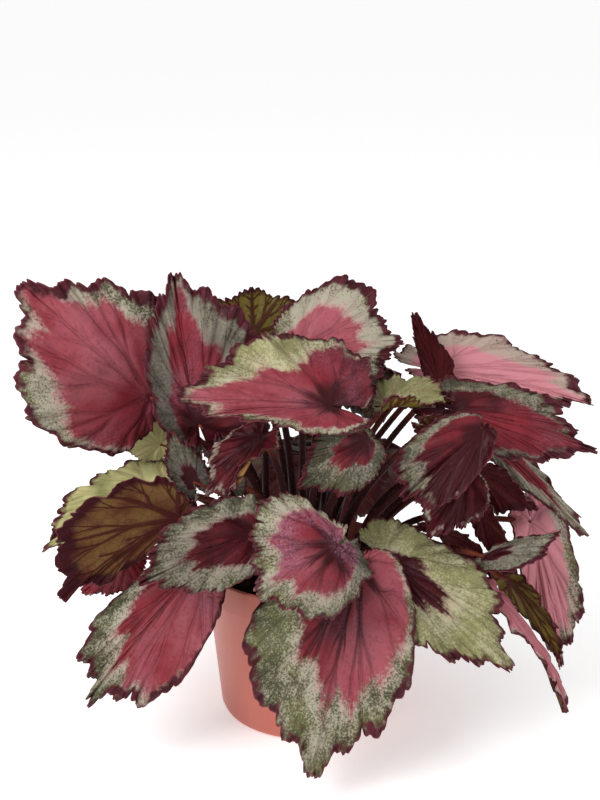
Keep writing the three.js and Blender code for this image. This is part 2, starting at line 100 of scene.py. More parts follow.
def soft_box(name, place, size, power):
    """A square lamp at a place in millimetres, turned to the middle of the plant."""
    lamp = added(bpy.ops.object.light_add, type="AREA", location=Vector(place) * MM)
    lamp.name = name
    lamp.data.size = size * MM
    lamp.data.energy = power
    lamp.rotation_euler = (LIT_POINT - lamp.location).to_track_quat("-Z", "Y").to_euler()
    print(name, "lamp:", size, "mm wide,", power, "W")


soft_box("key", (-900, -1100, 1300), 900, 22)
soft_box("fill", (1200, -700, 500), 1000, 5)
world = bpy.data.worlds.new("white_sweep")
world.use_nodes = True
surround = world.node_tree.nodes["Background"].inputs
surround["Color"].default_value = (1, 1, 1, 1)
surround["Strength"].default_value = 0.62
bpy.context.scene.world = world

# %% [markdown]
# Every finish is a small network of nodes. They could be wired one by one, which takes three lines for
# each. The helper below keeps the wiring short: each call adds a node and hands back its output, so a
# network reads like a sum. The floor is the first finish made with it: nearly white, and glowing faintly
# so that it runs into the surround without an edge.


# %% A helper for wiring a finish, and the floor
class Finish:
    """Builds one material; most of its methods add a node and return its output."""

    def __init__(self, name):
        self.material = bpy.data.materials.new(name)
        self.material.use_nodes = True
        self.nodes = self.material.node_tree.nodes
        self.links = self.material.node_tree.links
        self.shader = self.nodes["Principled BSDF"]

    def add(self, kind, inputs=(), output=0, **settings):
        node = self.nodes.new("ShaderNode" + kind)
        for key, value in settings.items():
            setattr(node, key, value)
        for key, value in dict(inputs).items():
            self.plug(node.inputs[key], value)
        return node.outputs[output]

    def plug(self, socket, value):
        if isinstance(value, bpy.types.NodeSocket):
            self.links.new(value, socket)
        elif isinstance(value, tuple) and socket.type == "RGBA":
            socket.default_value = (*value, 1)
        else:
            socket.default_value = value

    def math(self, operation, *values):
        return self.add("Math", enumerate(values), operation=operation)

    def plus(self, first, *more):
        for value in more:
            first = self.math("ADD", first, value)
        return first

    def minus(self, first, second):
        return self.math("SUBTRACT", first, second)

    def times(self, first, second):
        return self.math("MULTIPLY", first, second)

    def line(self, value, slope, start):
        """The slope times the value, plus the start."""
        return self.math("MULTIPLY_ADD", value, slope, start)

    def swing(self, value, amount):
        """A value from 0 to 1, made to swing round 0 by half the amount either way."""
        return self.line(value, amount, -amount / 2)

    def ease(self, value, low, high):
        """An S-curve that is 0 at low and 1 at high, whichever of the two is larger."""
        return self.add("MapRange", {"Value": value, "From Min": low, "From Max": high},
                        interpolation_type="SMOOTHSTEP")

    def mix(self, share, first, second):
        return self.add("Mix", {0: share, 6: first, 7: second}, output=2, data_type="RGBA")

    def attribute(self, name):
        return self.add("Attribute", output=2, attribute_name=name)

    def noise(self, scale, detail, roughness=0.5, vector=None):
        """Clouds of a size that goes down as the scale goes up."""
        inputs = {"Vector": vector or self.place(), "Scale": scale, "Detail": detail}
        return self.add("TexNoise", {**inputs, "Roughness": roughness})

    def grain(self, vector, scales, detail, roughness=0.5):
        """Clouds that are stretched by a scale of their own along each axis."""
        vector = self.add("VectorMath", {0: vector, 1: scales}, operation="MULTIPLY")
        return self.noise(1.0, detail, roughness, vector)

    def cells(self, scale, feature="F1"):
        return self.add("TexVoronoi", {"Vector": self.place(), "Scale": scale}, feature=feature)

    def place(self):
        return self.add("TexCoord", output=3)

    def uv(self):
        return self.add("UVMap", uv_map="UVMap")

    def bump(self, height, depth, strength=1.0, normal=None):
        """A relief with a depth in millimetres, laid over another relief if one is given."""
        inputs = {"Height": height, "Distance": depth * MM, "Strength": strength}
        if normal:
            inputs["Normal"] = normal
        return self.add("Bump", inputs)

    def set(self, **values):
        """Sets or plugs inputs of the shader; an underscore stands for the space in a name."""
        for key, value in values.items():
            self.plug(self.shader.inputs[key.replace("_", " ")], value)

    def let_light_through(self, share, colour):
        """Part of the light that reaches a thin blade comes out on its other side."""
        glow = self.add("BsdfTranslucent", {"Color": colour})
        blend = self.add("MixShader", {0: share, 1: self.shader.outputs[0], 2: glow})
        self.links.new(blend, self.nodes["Material Output"].inputs["Surface"])

    def done(self):
        print(self.material.name, "has", len(self.nodes), "nodes")
        return self.material


floor = added(bpy.ops.mesh.primitive_plane_add, size=80)
floor.name = "floor"
floor_paint = Finish("floor_paint")
floor_paint.set(Base_Color=(0.97, 0.97, 0.97), Roughness=0.9)
floor_paint.set(Emission_Color=(1.0, 1.0, 1.0), Emission_Strength=0.36)
floor.data.materials.append(floor_paint.done())

# %% [markdown]
# The veins decide how the whole leaf looks. Nine main veins fan out from the stalk. The middle one, the
# midrib, has side veins like a feather; the others fork twice on their way to the margin. They could be
# drawn as curves and projected, but then each of 46 leaves needs its own. Seen from the stalk a fork is
# a distance that is folded back on itself: take how far a point is round from the nearest main vein,
# subtract the spread of the fork at that reach, and drop the sign. The same few lines serve here for
# colour and below for the relief. They read the leaf's own UV map, where U runs round the margin and V
# from the stalk out to it.

# %% Veins
MAIN_STEP = 0.25  # main veins stand this far apart, counted in side, which runs from -1 to 1
FORK_ONE = (0.28, 0.66)  # where along the reach the first and the second forks open
FORK_TWO = (0.58, 1.0)
FEATHER_STEP = 0.24  # side veins of the midrib stand this far apart, counted in reach
FEATHER_SLANT = 2.2  # they slant out by this much reach for 1 of side
FEATHER_ZONE = (0.10, 0.15)  # and end here, counted in side
FEATHER_SCALE = 0.4  # turns a gap in reach into one in side
VEIN_TAPER = 1.35  # a vein is as wide as this less the reach, times its own width
print("main veins:", round(2 / MAIN_STEP) + 1)


class LeafFace(Finish):
    """A finish for one side of a blade, with the places that its patterns follow."""

    def __init__(self, name):
        super().__init__(name)
        across, out, _ = self.add("SeparateXYZ", {0: self.uv()}).node.outputs
        self.side = self.math("ABSOLUTE", self.line(across, 2.0, -1.0))  # 0 at the tip, 1 in the notch
        self.reach = out
        self.span = self.attribute("span")  # millimetres round the margin for 1 of side

    def vein_gaps(self):
        """Distances round from the nearest main vein, first fork and second fork, in side."""
        main = self.math("PINGPONG", self.side, MAIN_STEP / 2)
        spread = self.times(self.ease(self.reach, *FORK_ONE), MAIN_STEP / 4)
        one = self.math("ABSOLUTE", self.minus(main, spread))
        spread = self.times(self.ease(self.reach, *FORK_TWO), MAIN_STEP / 8)
        two = self.math("ABSOLUTE", self.minus(one, spread))
        front = self.ease(self.side, FEATHER_ZONE[1], FEATHER_ZONE[0])
        slant = self.plus(self.line(self.side, -FEATHER_SLANT, self.reach), 1.0)
        feather = self.times(self.math("PINGPONG", slant, FEATHER_STEP / 2), FEATHER_SCALE)
        feather = self.math("DIVIDE", feather, self.reach)
        one = self.math("MINIMUM", self.plus(one, front), self.plus(feather, self.minus(1.0, front)))
        return main, one, self.plus(two, front)

    def veins(self, *widths):
        """How much a point lies on a vein, for main veins and forks that are widths (in mm) wide."""
        share = 0.0
        across = self.times(self.span, self.reach)
        for gap, width in zip(self.vein_gaps(), widths):
            wide = self.times(self.minus(VEIN_TAPER, self.reach), width)
            line = self.ease(self.math("DIVIDE", self.times(gap, across), wide), 1.0, 0.35)
            share = self.math("MAXIMUM", share, line)
        return share


# %% [markdown]
# The upper face is painted in rings that follow the margin: a pink to wine-red heart, a silver band speckled
# with green, and a maroon margin. An image could be painted for each leaf, but rings made from numbers stay
# sharp at any size, and no two leaves come out alike. The heart comes first. It is pink between the veins
# and wine-red in a star round the stalk, and some leaves are paler, a petal pink all over. The dark star is
# partly the leaf's own wine-red and partly painted shade, in the fold at the stalk and along the veins near
# it. Short hairs give the heart a lilac sheen, which is painted here as a colour.

# %% Upper face: the heart
PINK = (0.215, 0.019, 0.029)
ROSE = (0.37, 0.085, 0.106)
WINE = (0.040, 0.0028, 0.005)
PETAL = (0.68, 0.28, 0.32)
# the colour of the hairs' painted sheen
SHEEN_LILAC = (0.33, 0.14, 0.20)


def heart_colour(f, cloud, pores, speck, wide_veins):
    """The colour of the heart, how dark it is, and how faded."""
    tone, star = f.attribute("tone"), f.attribute("star")
    # the dark star round the stalk and along the veins near it: partly the leaf's own wine-red, partly
    # painted shade in the fold there
    centre_star = f.times(f.ease(f.reach, 0.5, 0.05), star)
    vein_star = f.times(wide_veins, f.times(f.ease(f.reach, 1.0, 0.1), star))
    dark = f.plus(tone, f.line(cloud, 1.5, -0.78), f.line(centre_star, 0.8, f.times(vein_star, 0.5)))
    light = f.mix(f.ease(f.minus(cloud, tone), 0.1, 0.6), PINK, ROSE)
    colour = f.mix(f.ease(dark, 0.05, 1.0), light, WINE)
    colour = f.mix(f.times(f.ease(pores, 0.5, 0.75), 0.3), colour, WINE)
    # a painted lilac sheen, in specks, where the short hairs catch the light
    frost = f.times(f.ease(f.noise(26, 3), 0.4, 0.7), f.ease(speck, 0.3, 0.7))
    colour = f.mix(f.times(frost, f.attribute("frost")), colour, SHEEN_LILAC)
    faded = f.times(f.ease(tone, -0.3, -1.0), 0.75)
    return f.mix(faded, colour, PETAL), dark, faded


print("a heart runs from", PINK, "to", WINE)

# %% [markdown]
# Round the heart lies the band. On a real leaf its silver is air under the skin, and the green speckles are
# where there is none. One noise would look like a camouflage print, so noises of several sizes are laid over
# each other: patches, speckles within them, and a few dark flecks. Where a leaf lies in shade, painted shade
# darkens the band, broken up by noise and by streaks along the veins, and a pale leaf takes a yellow-green
# instead. Beside the heart it blushes.

# %% Upper face: the silver band
SILVER = (0.385, 0.35, 0.265)
BLUSH = (0.52, 0.30, 0.29)
GREEN = (0.075, 0.085, 0.024)
LEAF_GREEN = (0.21, 0.22, 0.075)
FLECK = (0.035, 0.028, 0.018)
PALE = (0.60, 0.56, 0.25)
# the colour of painted shade on the band
PAINTED_SHADE = (0.045, 0.035, 0.032)


def band_colour(f, out, faded, cloud, speck, streaks):
    """The colour of the band, for how far out from the heart's edge a point lies."""
    patch = f.plus(f.noise(70, 4, 0.62), f.line(f.attribute("green"), 0.5, -0.3))
    patch = f.plus(patch, f.times(f.ease(out, 0.0, 0.3), 0.16))
    mottle = f.plus(patch, f.swing(speck, 0.7))
    flecks = f.ease(f.plus(speck, f.times(patch, 0.5)), 0.72, 0.92)
    blush = f.line(f.ease(out, 0.1, 0.0), 0.5, f.times(faded, cloud))
    leafy = f.mix(f.ease(f.noise(38, 2), 0.42, 0.62), GREEN, LEAF_GREEN)
    colour = f.mix(f.times(f.ease(mottle, 0.42, 0.78), 0.9), f.mix(blush, SILVER, BLUSH), leafy)
    colour = f.mix(f.times(flecks, 0.65), colour, FLECK)
    # painted shade: the band darkens by how much the leaf lies in shade, broken up by noise and by streaks
    # along the veins
    shade = f.plus(f.attribute("dull"), f.swing(f.noise(30, 3), 0.7), f.swing(streaks, 0.5))
    colour = f.mix(f.times(f.ease(shade, 0.0, 1.0), 0.9), colour, PAINTED_SHADE)
    return f.mix(f.attribute("pale"), colour, f.mix(f.ease(cloud, 0.42, 0.8), PALE, LEAF_GREEN))


print("a band runs from", SILVER, "to", GREEN)

# %% [markdown]
# Now the rings are put together. The heart runs out along the veins in spikes, so its edge is moved by
# noises that are stretched along the reach. The maroon margin is broad in one place and narrow in the next,
# with a thin light edge of pale hairs on which a highlight is painted. A vein is a light line with a thin
# dark one on it. The relief is only a bump, because the larger cushions between the veins are made in the
# mesh. The skin is satin, so its gloss is low and broken up by its pores, and a little light comes through
# it.

# %% Upper face: the edges, the margin and the veins
MAROON = (0.038, 0.0045, 0.008)
LIGHT_MAROON = (0.095, 0.013, 0.021)
INK = (0.018, 0.002, 0.004)


def upper_face():
    f = LeafFace("leaf_upper_face")
    cloud, pores, speck = f.noise(45, 3), f.noise(520, 2), f.noise(820, 3, 0.65)
    streaks = f.grain(f.uv(), (70, 5, 1), 3, 0.6)
    wide_veins = f.veins(3.0, 2.0, 1.3)
    heart, dark, faded = heart_colour(f, cloud, pores, speck, wide_veins)

    steps = f.grain(f.uv(), (13, 0.8, 1), 1)
    spikes = f.grain(f.uv(), (44, 3.5, 1), 3, 0.6)
    edge = f.plus(f.swing(steps, 0.44), f.swing(spikes, 0.2), f.swing(pores, 0.14))
    out = f.minus(f.minus(f.reach, f.attribute("heart")), edge)
    ring = f.ease(out, -0.055, 0.05)
    face = f.mix(ring, heart, band_colour(f, out, faded, cloud, speck, streaks))

    margin = f.minus(f.reach, f.minus(1.0, f.attribute("rim")))
    margin = f.plus(margin, f.swing(f.noise(170, 3), 0.22), f.swing(f.noise(42, 2), 0.18))
    maroon = f.mix(f.ease(streaks, 0.35, 0.7), MAROON, LIGHT_MAROON)
    face = f.mix(f.ease(margin, -0.045, 0.03), face, maroon)
    # a thin light edge: pale hairs with a painted highlight on them
    face = f.mix(f.times(f.ease(f.reach, 0.985, 1.0), 0.25), face, ROSE)

    light_lines = f.times(f.veins(1.2, 0.8, 0.5), 0.2)
    face = f.mix(f.times(light_lines, f.ease(dark, 0.7, 0.1)), face, ROSE)
    strong = f.line(f.times(f.attribute("star"), f.ease(f.reach, 1.0, 0.3)), 0.4, 0.26)
    strong = f.times(strong, f.line(ring, -0.55, 1.0))
    face = f.mix(f.times(f.veins(0.5, 0.3, 0.22), strong), face, INK)

    normal = f.bump(f.minus(f.times(pores, 0.4), wide_veins), 0.5, 0.8)
    normal = f.bump(f.noise(120, 3), 0.5, 1.4, normal)
    normal = f.bump(f.noise(1500, 2), 0.12, 0.5, normal)
    f.set(Base_Color=face, Roughness=f.line(pores, 0.25, 0.32), Normal=normal, Specular_IOR_Level=0.16)
    f.let_light_through(0.1, face)
    return f.done()


UPPER = upper_face()

# %% [markdown]
# The underside is olive or maroon, with raised veins in dark red and a fine net between them. The veins are
# the same as on the upper face, only wider, because the ribs stand out below the blade. The net could be
# forked once more by the same sum, but it has no order that the eye can follow, so it is the edge distance
# of a cell pattern. Where a thin leaf has light behind it, the light shining through is painted in amber.

# %% Underside
OLIVE = (0.15, 0.11, 0.022)
UNDER_RED = (0.075, 0.008, 0.010)
# the colour of painted light shining through a thin blade
BACKLIT_AMBER = (0.55, 0.27, 0.10)
RIB_RED = (0.055, 0.005, 0.006)


def underside():
    f = LeafFace("leaf_underside")
    cloud = f.noise(60, 3)
    mixed = f.plus(f.attribute("under"), f.swing(cloud, 0.9))
    face = f.mix(f.ease(mixed, 0.2, 0.8), OLIVE, UNDER_RED)
    # painted light shining through a thin blade from behind, amber mottled with olive
    face = f.mix(f.attribute("amber"), face, f.mix(f.ease(cloud, 0.4, 0.65), BACKLIT_AMBER, OLIVE))
    margin = f.plus(f.minus(f.reach, f.minus(0.94, f.attribute("rim"))), f.swing(cloud, 0.3))
    face = f.mix(f.ease(margin, -0.05, 0.08), face, MAROON)
    net = f.ease(f.cells(190, "DISTANCE_TO_EDGE"), 0.07, 0.0)
    ribs = f.veins(2.2, 1.3, 0.8)
    face = f.mix(f.times(net, 0.35), face, RIB_RED)
    face = f.mix(f.times(ribs, 0.85), face, RIB_RED)
    normal = f.bump(f.plus(ribs, f.times(net, 0.3)), 0.6, 0.8)
    normal = f.bump(f.noise(1300, 2), 0.1, 0.4, normal)
    f.set(Base_Color=face, Roughness=f.line(cloud, 0.2, 0.35), Normal=normal, Specular_IOR_Level=0.1)
    f.let_light_through(0.14, face)
    return f.done()


UNDER = underside()

# %% [markdown]
# Stalks are full of water, so they look like coloured wax: dark red low down, lighter and more orange
# towards the blade, with fine stripes along them. How far up the stalk a point lies is stored on its
# mesh, because height alone would be wrong for a stalk that bends over. The hairs on them are real
# geometry, and take a paler, duller red.

# %% Stalk and hairs
STALK_DARK = (0.030, 0.0035, 0.004)
STALK_BRIGHT = (0.26, 0.05, 0.022)
STALK_STRIPE = (0.042, 0.006, 0.008)
HAIR_RED = (0.15, 0.035, 0.035)
HAIR_PALE = (0.26, 0.11, 0.10)


def stalk_skin():
    f = Finish("stalk_skin")
    stripes = f.grain(f.place(), (900, 900, 60), 3)
    flush = f.plus(f.attribute("along"), f.swing(f.noise(60, 2), 0.7))
    skin = f.mix(f.ease(flush, 0.6, 1.3), STALK_DARK, STALK_BRIGHT)
    skin = f.mix(f.times(f.ease(stripes, 0.5, 0.7), 0.5), skin, STALK_STRIPE)
    f.set(Base_Color=skin, Roughness=f.line(stripes, 0.3, 0.34), Specular_IOR_Level=0.12)
    f.set(Normal=f.bump(stripes, 0.15, 0.5), Subsurface_Weight=0.15, Subsurface_Scale=0.002)
    return f.done()


def hair_skin():
    f = Finish("hair_skin")
    f.set(Base_Color=f.mix(f.noise(300, 1), HAIR_RED, HAIR_PALE), Roughness=0.55)
    return f.done()


STALK, HAIR = stalk_skin(), hair_skin()

# %% [markdown]
# The pot is moulded polypropylene in terracotta colour, with a satin face. Moulded plastic is never one
# flat colour: there is a faint cloudiness, and a fine grain that breaks up its highlights. The compost is
# fibrous peat, nearly black where it is moist, with pitted white perlite, and the rhizome is brown and
# corky. Pictures of them would have to be unwrapped and would repeat. Noises that read the place in the
# object do neither, because these patterns have no direction that follows the piece.


# %% Pot, compost and rhizome
def pot_plastic():
    f = Finish("pot_plastic")
    colour = f.mix(f.ease(f.noise(18, 3), 0.35, 0.7), (0.47, 0.118, 0.082), (0.52, 0.142, 0.102))
    normal = f.bump(f.noise(1400, 2), 0.05, 0.35)
    normal = f.bump(f.noise(60, 2), 0.25, 0.12, normal)
    f.set(Base_Color=colour, Roughness=f.line(f.noise(500, 2), 0.12, 0.34), Normal=normal)
    f.set(Specular_IOR_Level=0.45, Subsurface_Weight=0.08, Subsurface_Scale=0.003)
    return f.done()


def compost():
    f = Finish("compost")
    crumb = f.noise(330, 5, 0.65)
    fibre = f.grain(f.place(), (260, 1100, 500), 4, 0.6)
    colour = f.mix(f.ease(crumb, 0.35, 0.7), (0.018, 0.011, 0.008), (0.075, 0.045, 0.028))
    colour = f.mix(f.times(f.ease(fibre, 0.6, 0.72), 0.7), colour, (0.14, 0.085, 0.05))
    f.set(Base_Color=colour, Roughness=0.95, Normal=f.bump(crumb, 1.2, 0.9), Specular_IOR_Level=0.2)
    return f.done()


def perlite():
    f = Finish("perlite")
    pits = f.cells(900)
    f.set(Base_Color=f.mix(f.ease(pits, 0.2, 0.7), (0.55, 0.53, 0.48), (0.78, 0.77, 0.73)))
    f.set(Roughness=0.8, Normal=f.bump(pits, 0.3, 0.6))
    return f.done()


def rhizome_bark():
    f = Finish("rhizome_bark")
    cloud = f.noise(220, 4, 0.6)
    colour = f.mix(f.ease(cloud, 0.3, 0.7), (0.10, 0.055, 0.025), (0.26, 0.17, 0.09))
    f.set(Base_Color=colour, Roughness=0.8, Normal=f.bump(cloud, 0.8, 0.8))
    return f.done()


POT, COMPOST, PERLITE, BARK = pot_plastic(), compost(), perlite(), rhizome_bark()

# %% [markdown]
# A begonia blade is a lopsided heart. It could be drawn leaf by leaf with curves. It is worked out here
# in polar form instead, as the CAD frame has it: the stalk meets the blade at the centre, an angle goes
# round from the notch on one side to the notch on the other, and the margin lies at some reach for each
# angle. One set of formulas then gives all of the leaves, and the fine mesh keeps the form of the solid.

# %% The outline of a blade
SINUS = math.radians(11)  # half the notch where the two basal lobes leave the stalk
BODY, TAPER, DRIP_TIP = 0.55, 0.40, 0.05  # shares of the midrib that make up its length
TAPER_WIDTH, DRIP_WIDTH = 0.58, 0.1  # how far round these two reach, in radians
LOBE_ZONE = (math.pi / 3, 0.8 * math.pi)  # where the basal lobes begin and where they are full
CROWDING = 1.4  # over 1, so that the columns of the mesh crowd towards the tip


def margin_reach(angle, full, lobe):
    """Distance from the stalk to the margin, as a share of the midrib."""
    a = np.abs(angle)
    body = BODY * (1 - 0.5 * (a / math.pi) ** 4)
    front = TAPER * np.exp(-((a / TAPER_WIDTH) ** 1.3)) + DRIP_TIP * np.exp(-a / DRIP_WIDTH)
    swell = np.where(a < math.pi / 2, full * np.sin(2 * a) ** 2, 0)
    return (body + front + swell) * (1 - smooth(*LOBE_ZONE, a) * (1 - lobe))


def margin_angle(side):
    """The angle at side, which runs from -1 to 1 round the margin and is 0 at the tip."""
    return np.sign(side) * np.abs(side) ** CROWDING * (math.pi - SINUS)


print("reach at the tip and in the notch:", margin_reach(margin_angle(np.array([0, 1])), 0, 1).round(2))

# %% [markdown]
# The flat heart is then bent: each half folds up along the midrib and rolls round it, and the midrib
# droops. A slow wave lifts and lowers the margin, and a quick one frills it. Bend modifiers could do
# this one after the other, but formulas give every point of the blade at once. Every bend is a turn round
# a cylinder, so the blade keeps its width and length, as a real one does.


# %% The bends of a blade
RUFFLE_POWER = 2.6  # the higher, the more the waves keep to the margin
FRILLS, FRILL = 2.3, 0.35  # quick waves to a slow one, and how high they are beside it
MIDRIB = 3  # half the width over which the fold along the midrib is rounded


def unit(vectors):
    """A vector, or each row of a list of vectors, at length 1."""
    return vectors / np.linalg.norm(vectors, axis=-1, keepdims=True)


def blade_frame(leaf):
    """Origin at the stalk, x along the midrib, z out of the upper face, and the midrib's length."""
    joint = np.array(leaf["joint"], float)
    chord = np.array(leaf["tip"], float) - joint
    half = math.radians(leaf["droop"]) / 2
    length = np.linalg.norm(chord) * half / math.sin(half)
    along = unit(chord)
    up = np.array(leaf["face"], float)
    up = unit(up - along * up.dot(along))
    x = along * math.cos(half) + up * math.sin(half)
    z = up * math.cos(half) - along * math.sin(half)
    return joint, x, np.cross(z, x), z, length


def half_of(leaf, name, side):
    """The number that a leaf has for its left half, where side is over 0, or for its right half."""
    return np.where(side > 0, leaf[name][0], leaf[name][1])


def margin_far(leaf, side):
    """Millimetres from the stalk to the margin, before it is cut into teeth."""
    return blade_frame(leaf)[4] * margin_reach(margin_angle(side), leaf["full"], half_of(leaf, "lobe", side))


def ruffle_at(leaf, side):
    """How high the margin is waved and frilled, where each leaf's seed shifts its waves."""
    wave = np.sin(math.pi * leaf["waves"] * side + leaf["seed"] * 1.7)
    frill = np.sin(math.pi * (FRILLS * leaf["waves"] + 1) * side + leaf["seed"] * 2.9)
    return leaf["ruffle"] * (wave + FRILL * frill)


def wrapped(along, high, radius):
    """Lays a distance along and a height over it round a cylinder."""
    turn = along / radius
    return (radius + high) * np.sin(turn), (radius + high) * np.cos(turn) - radius


def blade_point(leaf, side, reach, tooth, relief):
    """Places on the blade in millimetres, for arrays of side and reach."""
    joint, x, y, z, length = blade_frame(leaf)
    angle, wide = margin_angle(side), half_of(leaf, "wide", side)
    far = margin_far(leaf, side) * reach * (1 + tooth)
    u, v = far * np.cos(angle), far * np.sin(angle) * wide
    w = reach**RUFFLE_POWER * ruffle_at(leaf, side) + relief
    w = w + math.tan(math.radians(leaf["fold"])) * (np.hypot(v, MIDRIB) - MIDRIB)
    v, w = wrapped(v, w, 0.5 * length * wide / np.radians(half_of(leaf, "roll", side)))
    u, w = wrapped(u, w, length / math.radians(leaf["droop"]))
    return joint + u[:, None] * x + v[:, None] * y + w[:, None] * z


print("30 mm laid round a cylinder of radius 60 mm:", [round(float(mm), 1) for mm in wrapped(30, 0, 60)])

# %% [markdown]
# The margin is cut into uneven teeth, and each tooth carries a few finer ones. Between the veins the
# blade swells up into little cushions, because it grows faster than its veins. A displacement texture
# could raise it, but it wouldn't know where the veins are. Here both are offsets that are added to the
# plain surface: the teeth lengthen or shorten the reach, and the cushions lift the blade.

# %% Teeth and cushions
TOOTH_DEPTH, TOOTH_MORE = 0.03, 0.035  # the smallest tooth, and how much deeper one can be, as shares
IN_SHARE = 0.6  # how deep the margin goes in between two teeth, for 1 that it stands out
NOTCHES = ((1.9, 4.0), (5.3, 1.5))  # how many to a tooth, and how deep in millimetres
TOOTHED = (0.7, 1.0)  # where along the reach the teeth begin and where they are full
PLAIN_TIP = 0.03  # the teeth fade out this near to the tip, in side
CUSHION = 1.2  # how far the blade swells up between its veins, in millimetres
CREASE = 2.4  # half the width of the crease that a vein leaves
FORK_CREASE = 0.004  # how far a fork seems from its own middle, in side, so that its crease is shallower
CUSHIONED = (0.04, 0.35)  # where along the reach cushions begin and where they are full
CRINKLED = (0.6, 1.0)  # and the same for crinkles
CRINKLE = 1.2  # how far the margin is crinkled up and down
CRINKLES = ((58, 3.1, 1), (97, 5.3, 0.7), (171, 7.7, 0.35))  # how many, their start, and their share
FULL_SIZE = 70  # a blade this long has cushions and crinkles of full height


def teeth(leaf, side, reach):
    """The share by which the margin stands out or goes in."""
    cuts = leaf["cuts"]

    def depth(k):
        size = TOOTH_DEPTH + TOOTH_MORE * chance(leaf["seed"], k)
        return np.where(k == cuts / 2, 0, np.where(k % 2 == 1, size, -IN_SHARE * size))

    place = (side + 1) / 2 * cuts
    before = np.floor(place)
    coarse = between((depth(before), depth(before + 1)), place - before)
    fine = 0
    for more, size in NOTCHES:
        place = (side + 1) / 2 * cuts * more
        lean = place % 1
        round_tooth = np.sqrt(np.clip(4 * lean * (1 - lean), 0, 1))
        uneven = 0.4 + 0.6 * chance(leaf["seed"] + more, np.floor(place))
        fine = fine - size * uneven * (1 - round_tooth)
    fine = fine / np.maximum(margin_far(leaf, side), 15)
    return (coarse + fine) * smooth(0.0, PLAIN_TIP, np.abs(side)) * smooth(*TOOTHED, reach)


def vein_distance(side, reach, span):
    """Millimetres to the nearest vein, by the same rule as in the finishes."""
    side = np.abs(side)
    main = np.abs((side + MAIN_STEP / 2) % MAIN_STEP - MAIN_STEP / 2)
    one = np.abs(main - smooth(*FORK_ONE, reach) * MAIN_STEP / 4)
    two = np.abs(one - smooth(*FORK_TWO, reach) * MAIN_STEP / 8)
    front = 1 - smooth(*FEATHER_ZONE, side)
    slant = reach - FEATHER_SLANT * side
    feather = np.abs((slant + FEATHER_STEP / 2) % FEATHER_STEP - FEATHER_STEP / 2)
    feather = feather * FEATHER_SCALE / np.maximum(reach, 0.05)
    one = np.minimum(one + front, feather + 1 - front)
    nearest = np.minimum(main, np.minimum(one + FORK_CREASE, two + front + 2 * FORK_CREASE))
    return nearest * span * reach


def cushions(leaf, side, reach, span):
    """How far the blade is lifted between its veins, and crinkled near its margin."""
    size = min(1.0, blade_frame(leaf)[4] / FULL_SIZE)
    far = vein_distance(side, reach, span)
    lift = CUSHION * size * (1 - np.exp(-((far / CREASE) ** 2))) * smooth(*CUSHIONED, reach)
    crinkle = sum(share * np.sin(side * many + leaf["seed"] * start) for many, start, share in CRINKLES)
    return lift + CRINKLE * size * crinkle * smooth(*CRINKLED, reach) ** 1.5


half_way = vein_distance(np.linspace(0, 1, 200), 0.5, 100)
print("with a span of 100 mm, no point half way out is over", half_way.max().round(1), "mm from a vein")

# %% [markdown]
# A blade starts as a grid, whose own UV map is then the leaf's map: U round the margin and V out to it.
# A disc would have no such map. The grid's rows are moved to their places, the row at the stalk is merged
# into one point, and Solidify gives the sheet its thickness. The lower skin takes the next material, so
# each side has its own finish. What makes this leaf look like no other, such as how far its pink heart
# reaches, is stored on its points, where the finishes read it.

# %% Making a blade
BLADE_THICKNESS = 0.6
LOBES_AT = 0.75  # the side at which the numbers for the two basal lobes hold
ROUND_TO_NOTCH = 2.95  # radians from the tip round to the notch
LOOKS = ("heart", "tone", "green", "rim", "dull", "star", "frost", "pale", "under", "amber")
MERGE = (bpy.ops.mesh.remove_doubles, {"threshold": 0.01 * MM})
FACE_OUT = (bpy.ops.mesh.normals_make_consistent, {"inside": False})


def only(*things):
    """Selects these objects and nothing else, and makes the first one active."""
    bpy.ops.object.select_all(action="DESELECT")
    for thing in things:
        thing.select_set(True)
    bpy.context.view_layer.objects.active = things[0]


def edit(*steps, where=None):
    """Runs edit-mode operators on all of the active object, or on the faces where a test holds."""
    bpy.ops.object.mode_set(mode="EDIT")
    bpy.ops.mesh.select_all(action="DESELECT" if where else "SELECT")
    if where:
        bpy.ops.object.mode_set(mode="OBJECT")
        for face in bpy.context.object.data.polygons:
            face.select = where(face.center / MM)
        bpy.ops.object.mode_set(mode="EDIT")
    for step, settings in steps:
        step(**settings)
    bpy.ops.object.mode_set(mode="OBJECT")


def modify(thing, kind, **settings):
    """Adds a modifier to an object and applies it."""
    only(thing)
    modifier = thing.modifiers.new(kind, kind)
    for key, value in settings.items():
        setattr(modifier, key, value)
    bpy.ops.object.modifier_apply(modifier=kind)


def points_of(thing):
    """The places of an object's points, in millimetres."""
    return np.array([v.co[:] for v in thing.data.vertices]) / MM


def move_points(thing, places):
    thing.data.vertices.foreach_set("co", (places * MM).astype(np.float32).ravel())


def give(thing, name, values):
    """Stores a number on every point of a mesh."""
    layer = thing.data.attributes.new(name, "FLOAT", "POINT")
    layer.data.foreach_set("value", np.ascontiguousarray(values, dtype=np.float32))


def round_blade(side, values):
    """Spreads numbers, listed from the left lobe over the tip to the right lobe, round the blade."""
    return np.interp(-side, np.linspace(-LOBES_AT, LOBES_AT, np.size(values)), np.atleast_1d(values))


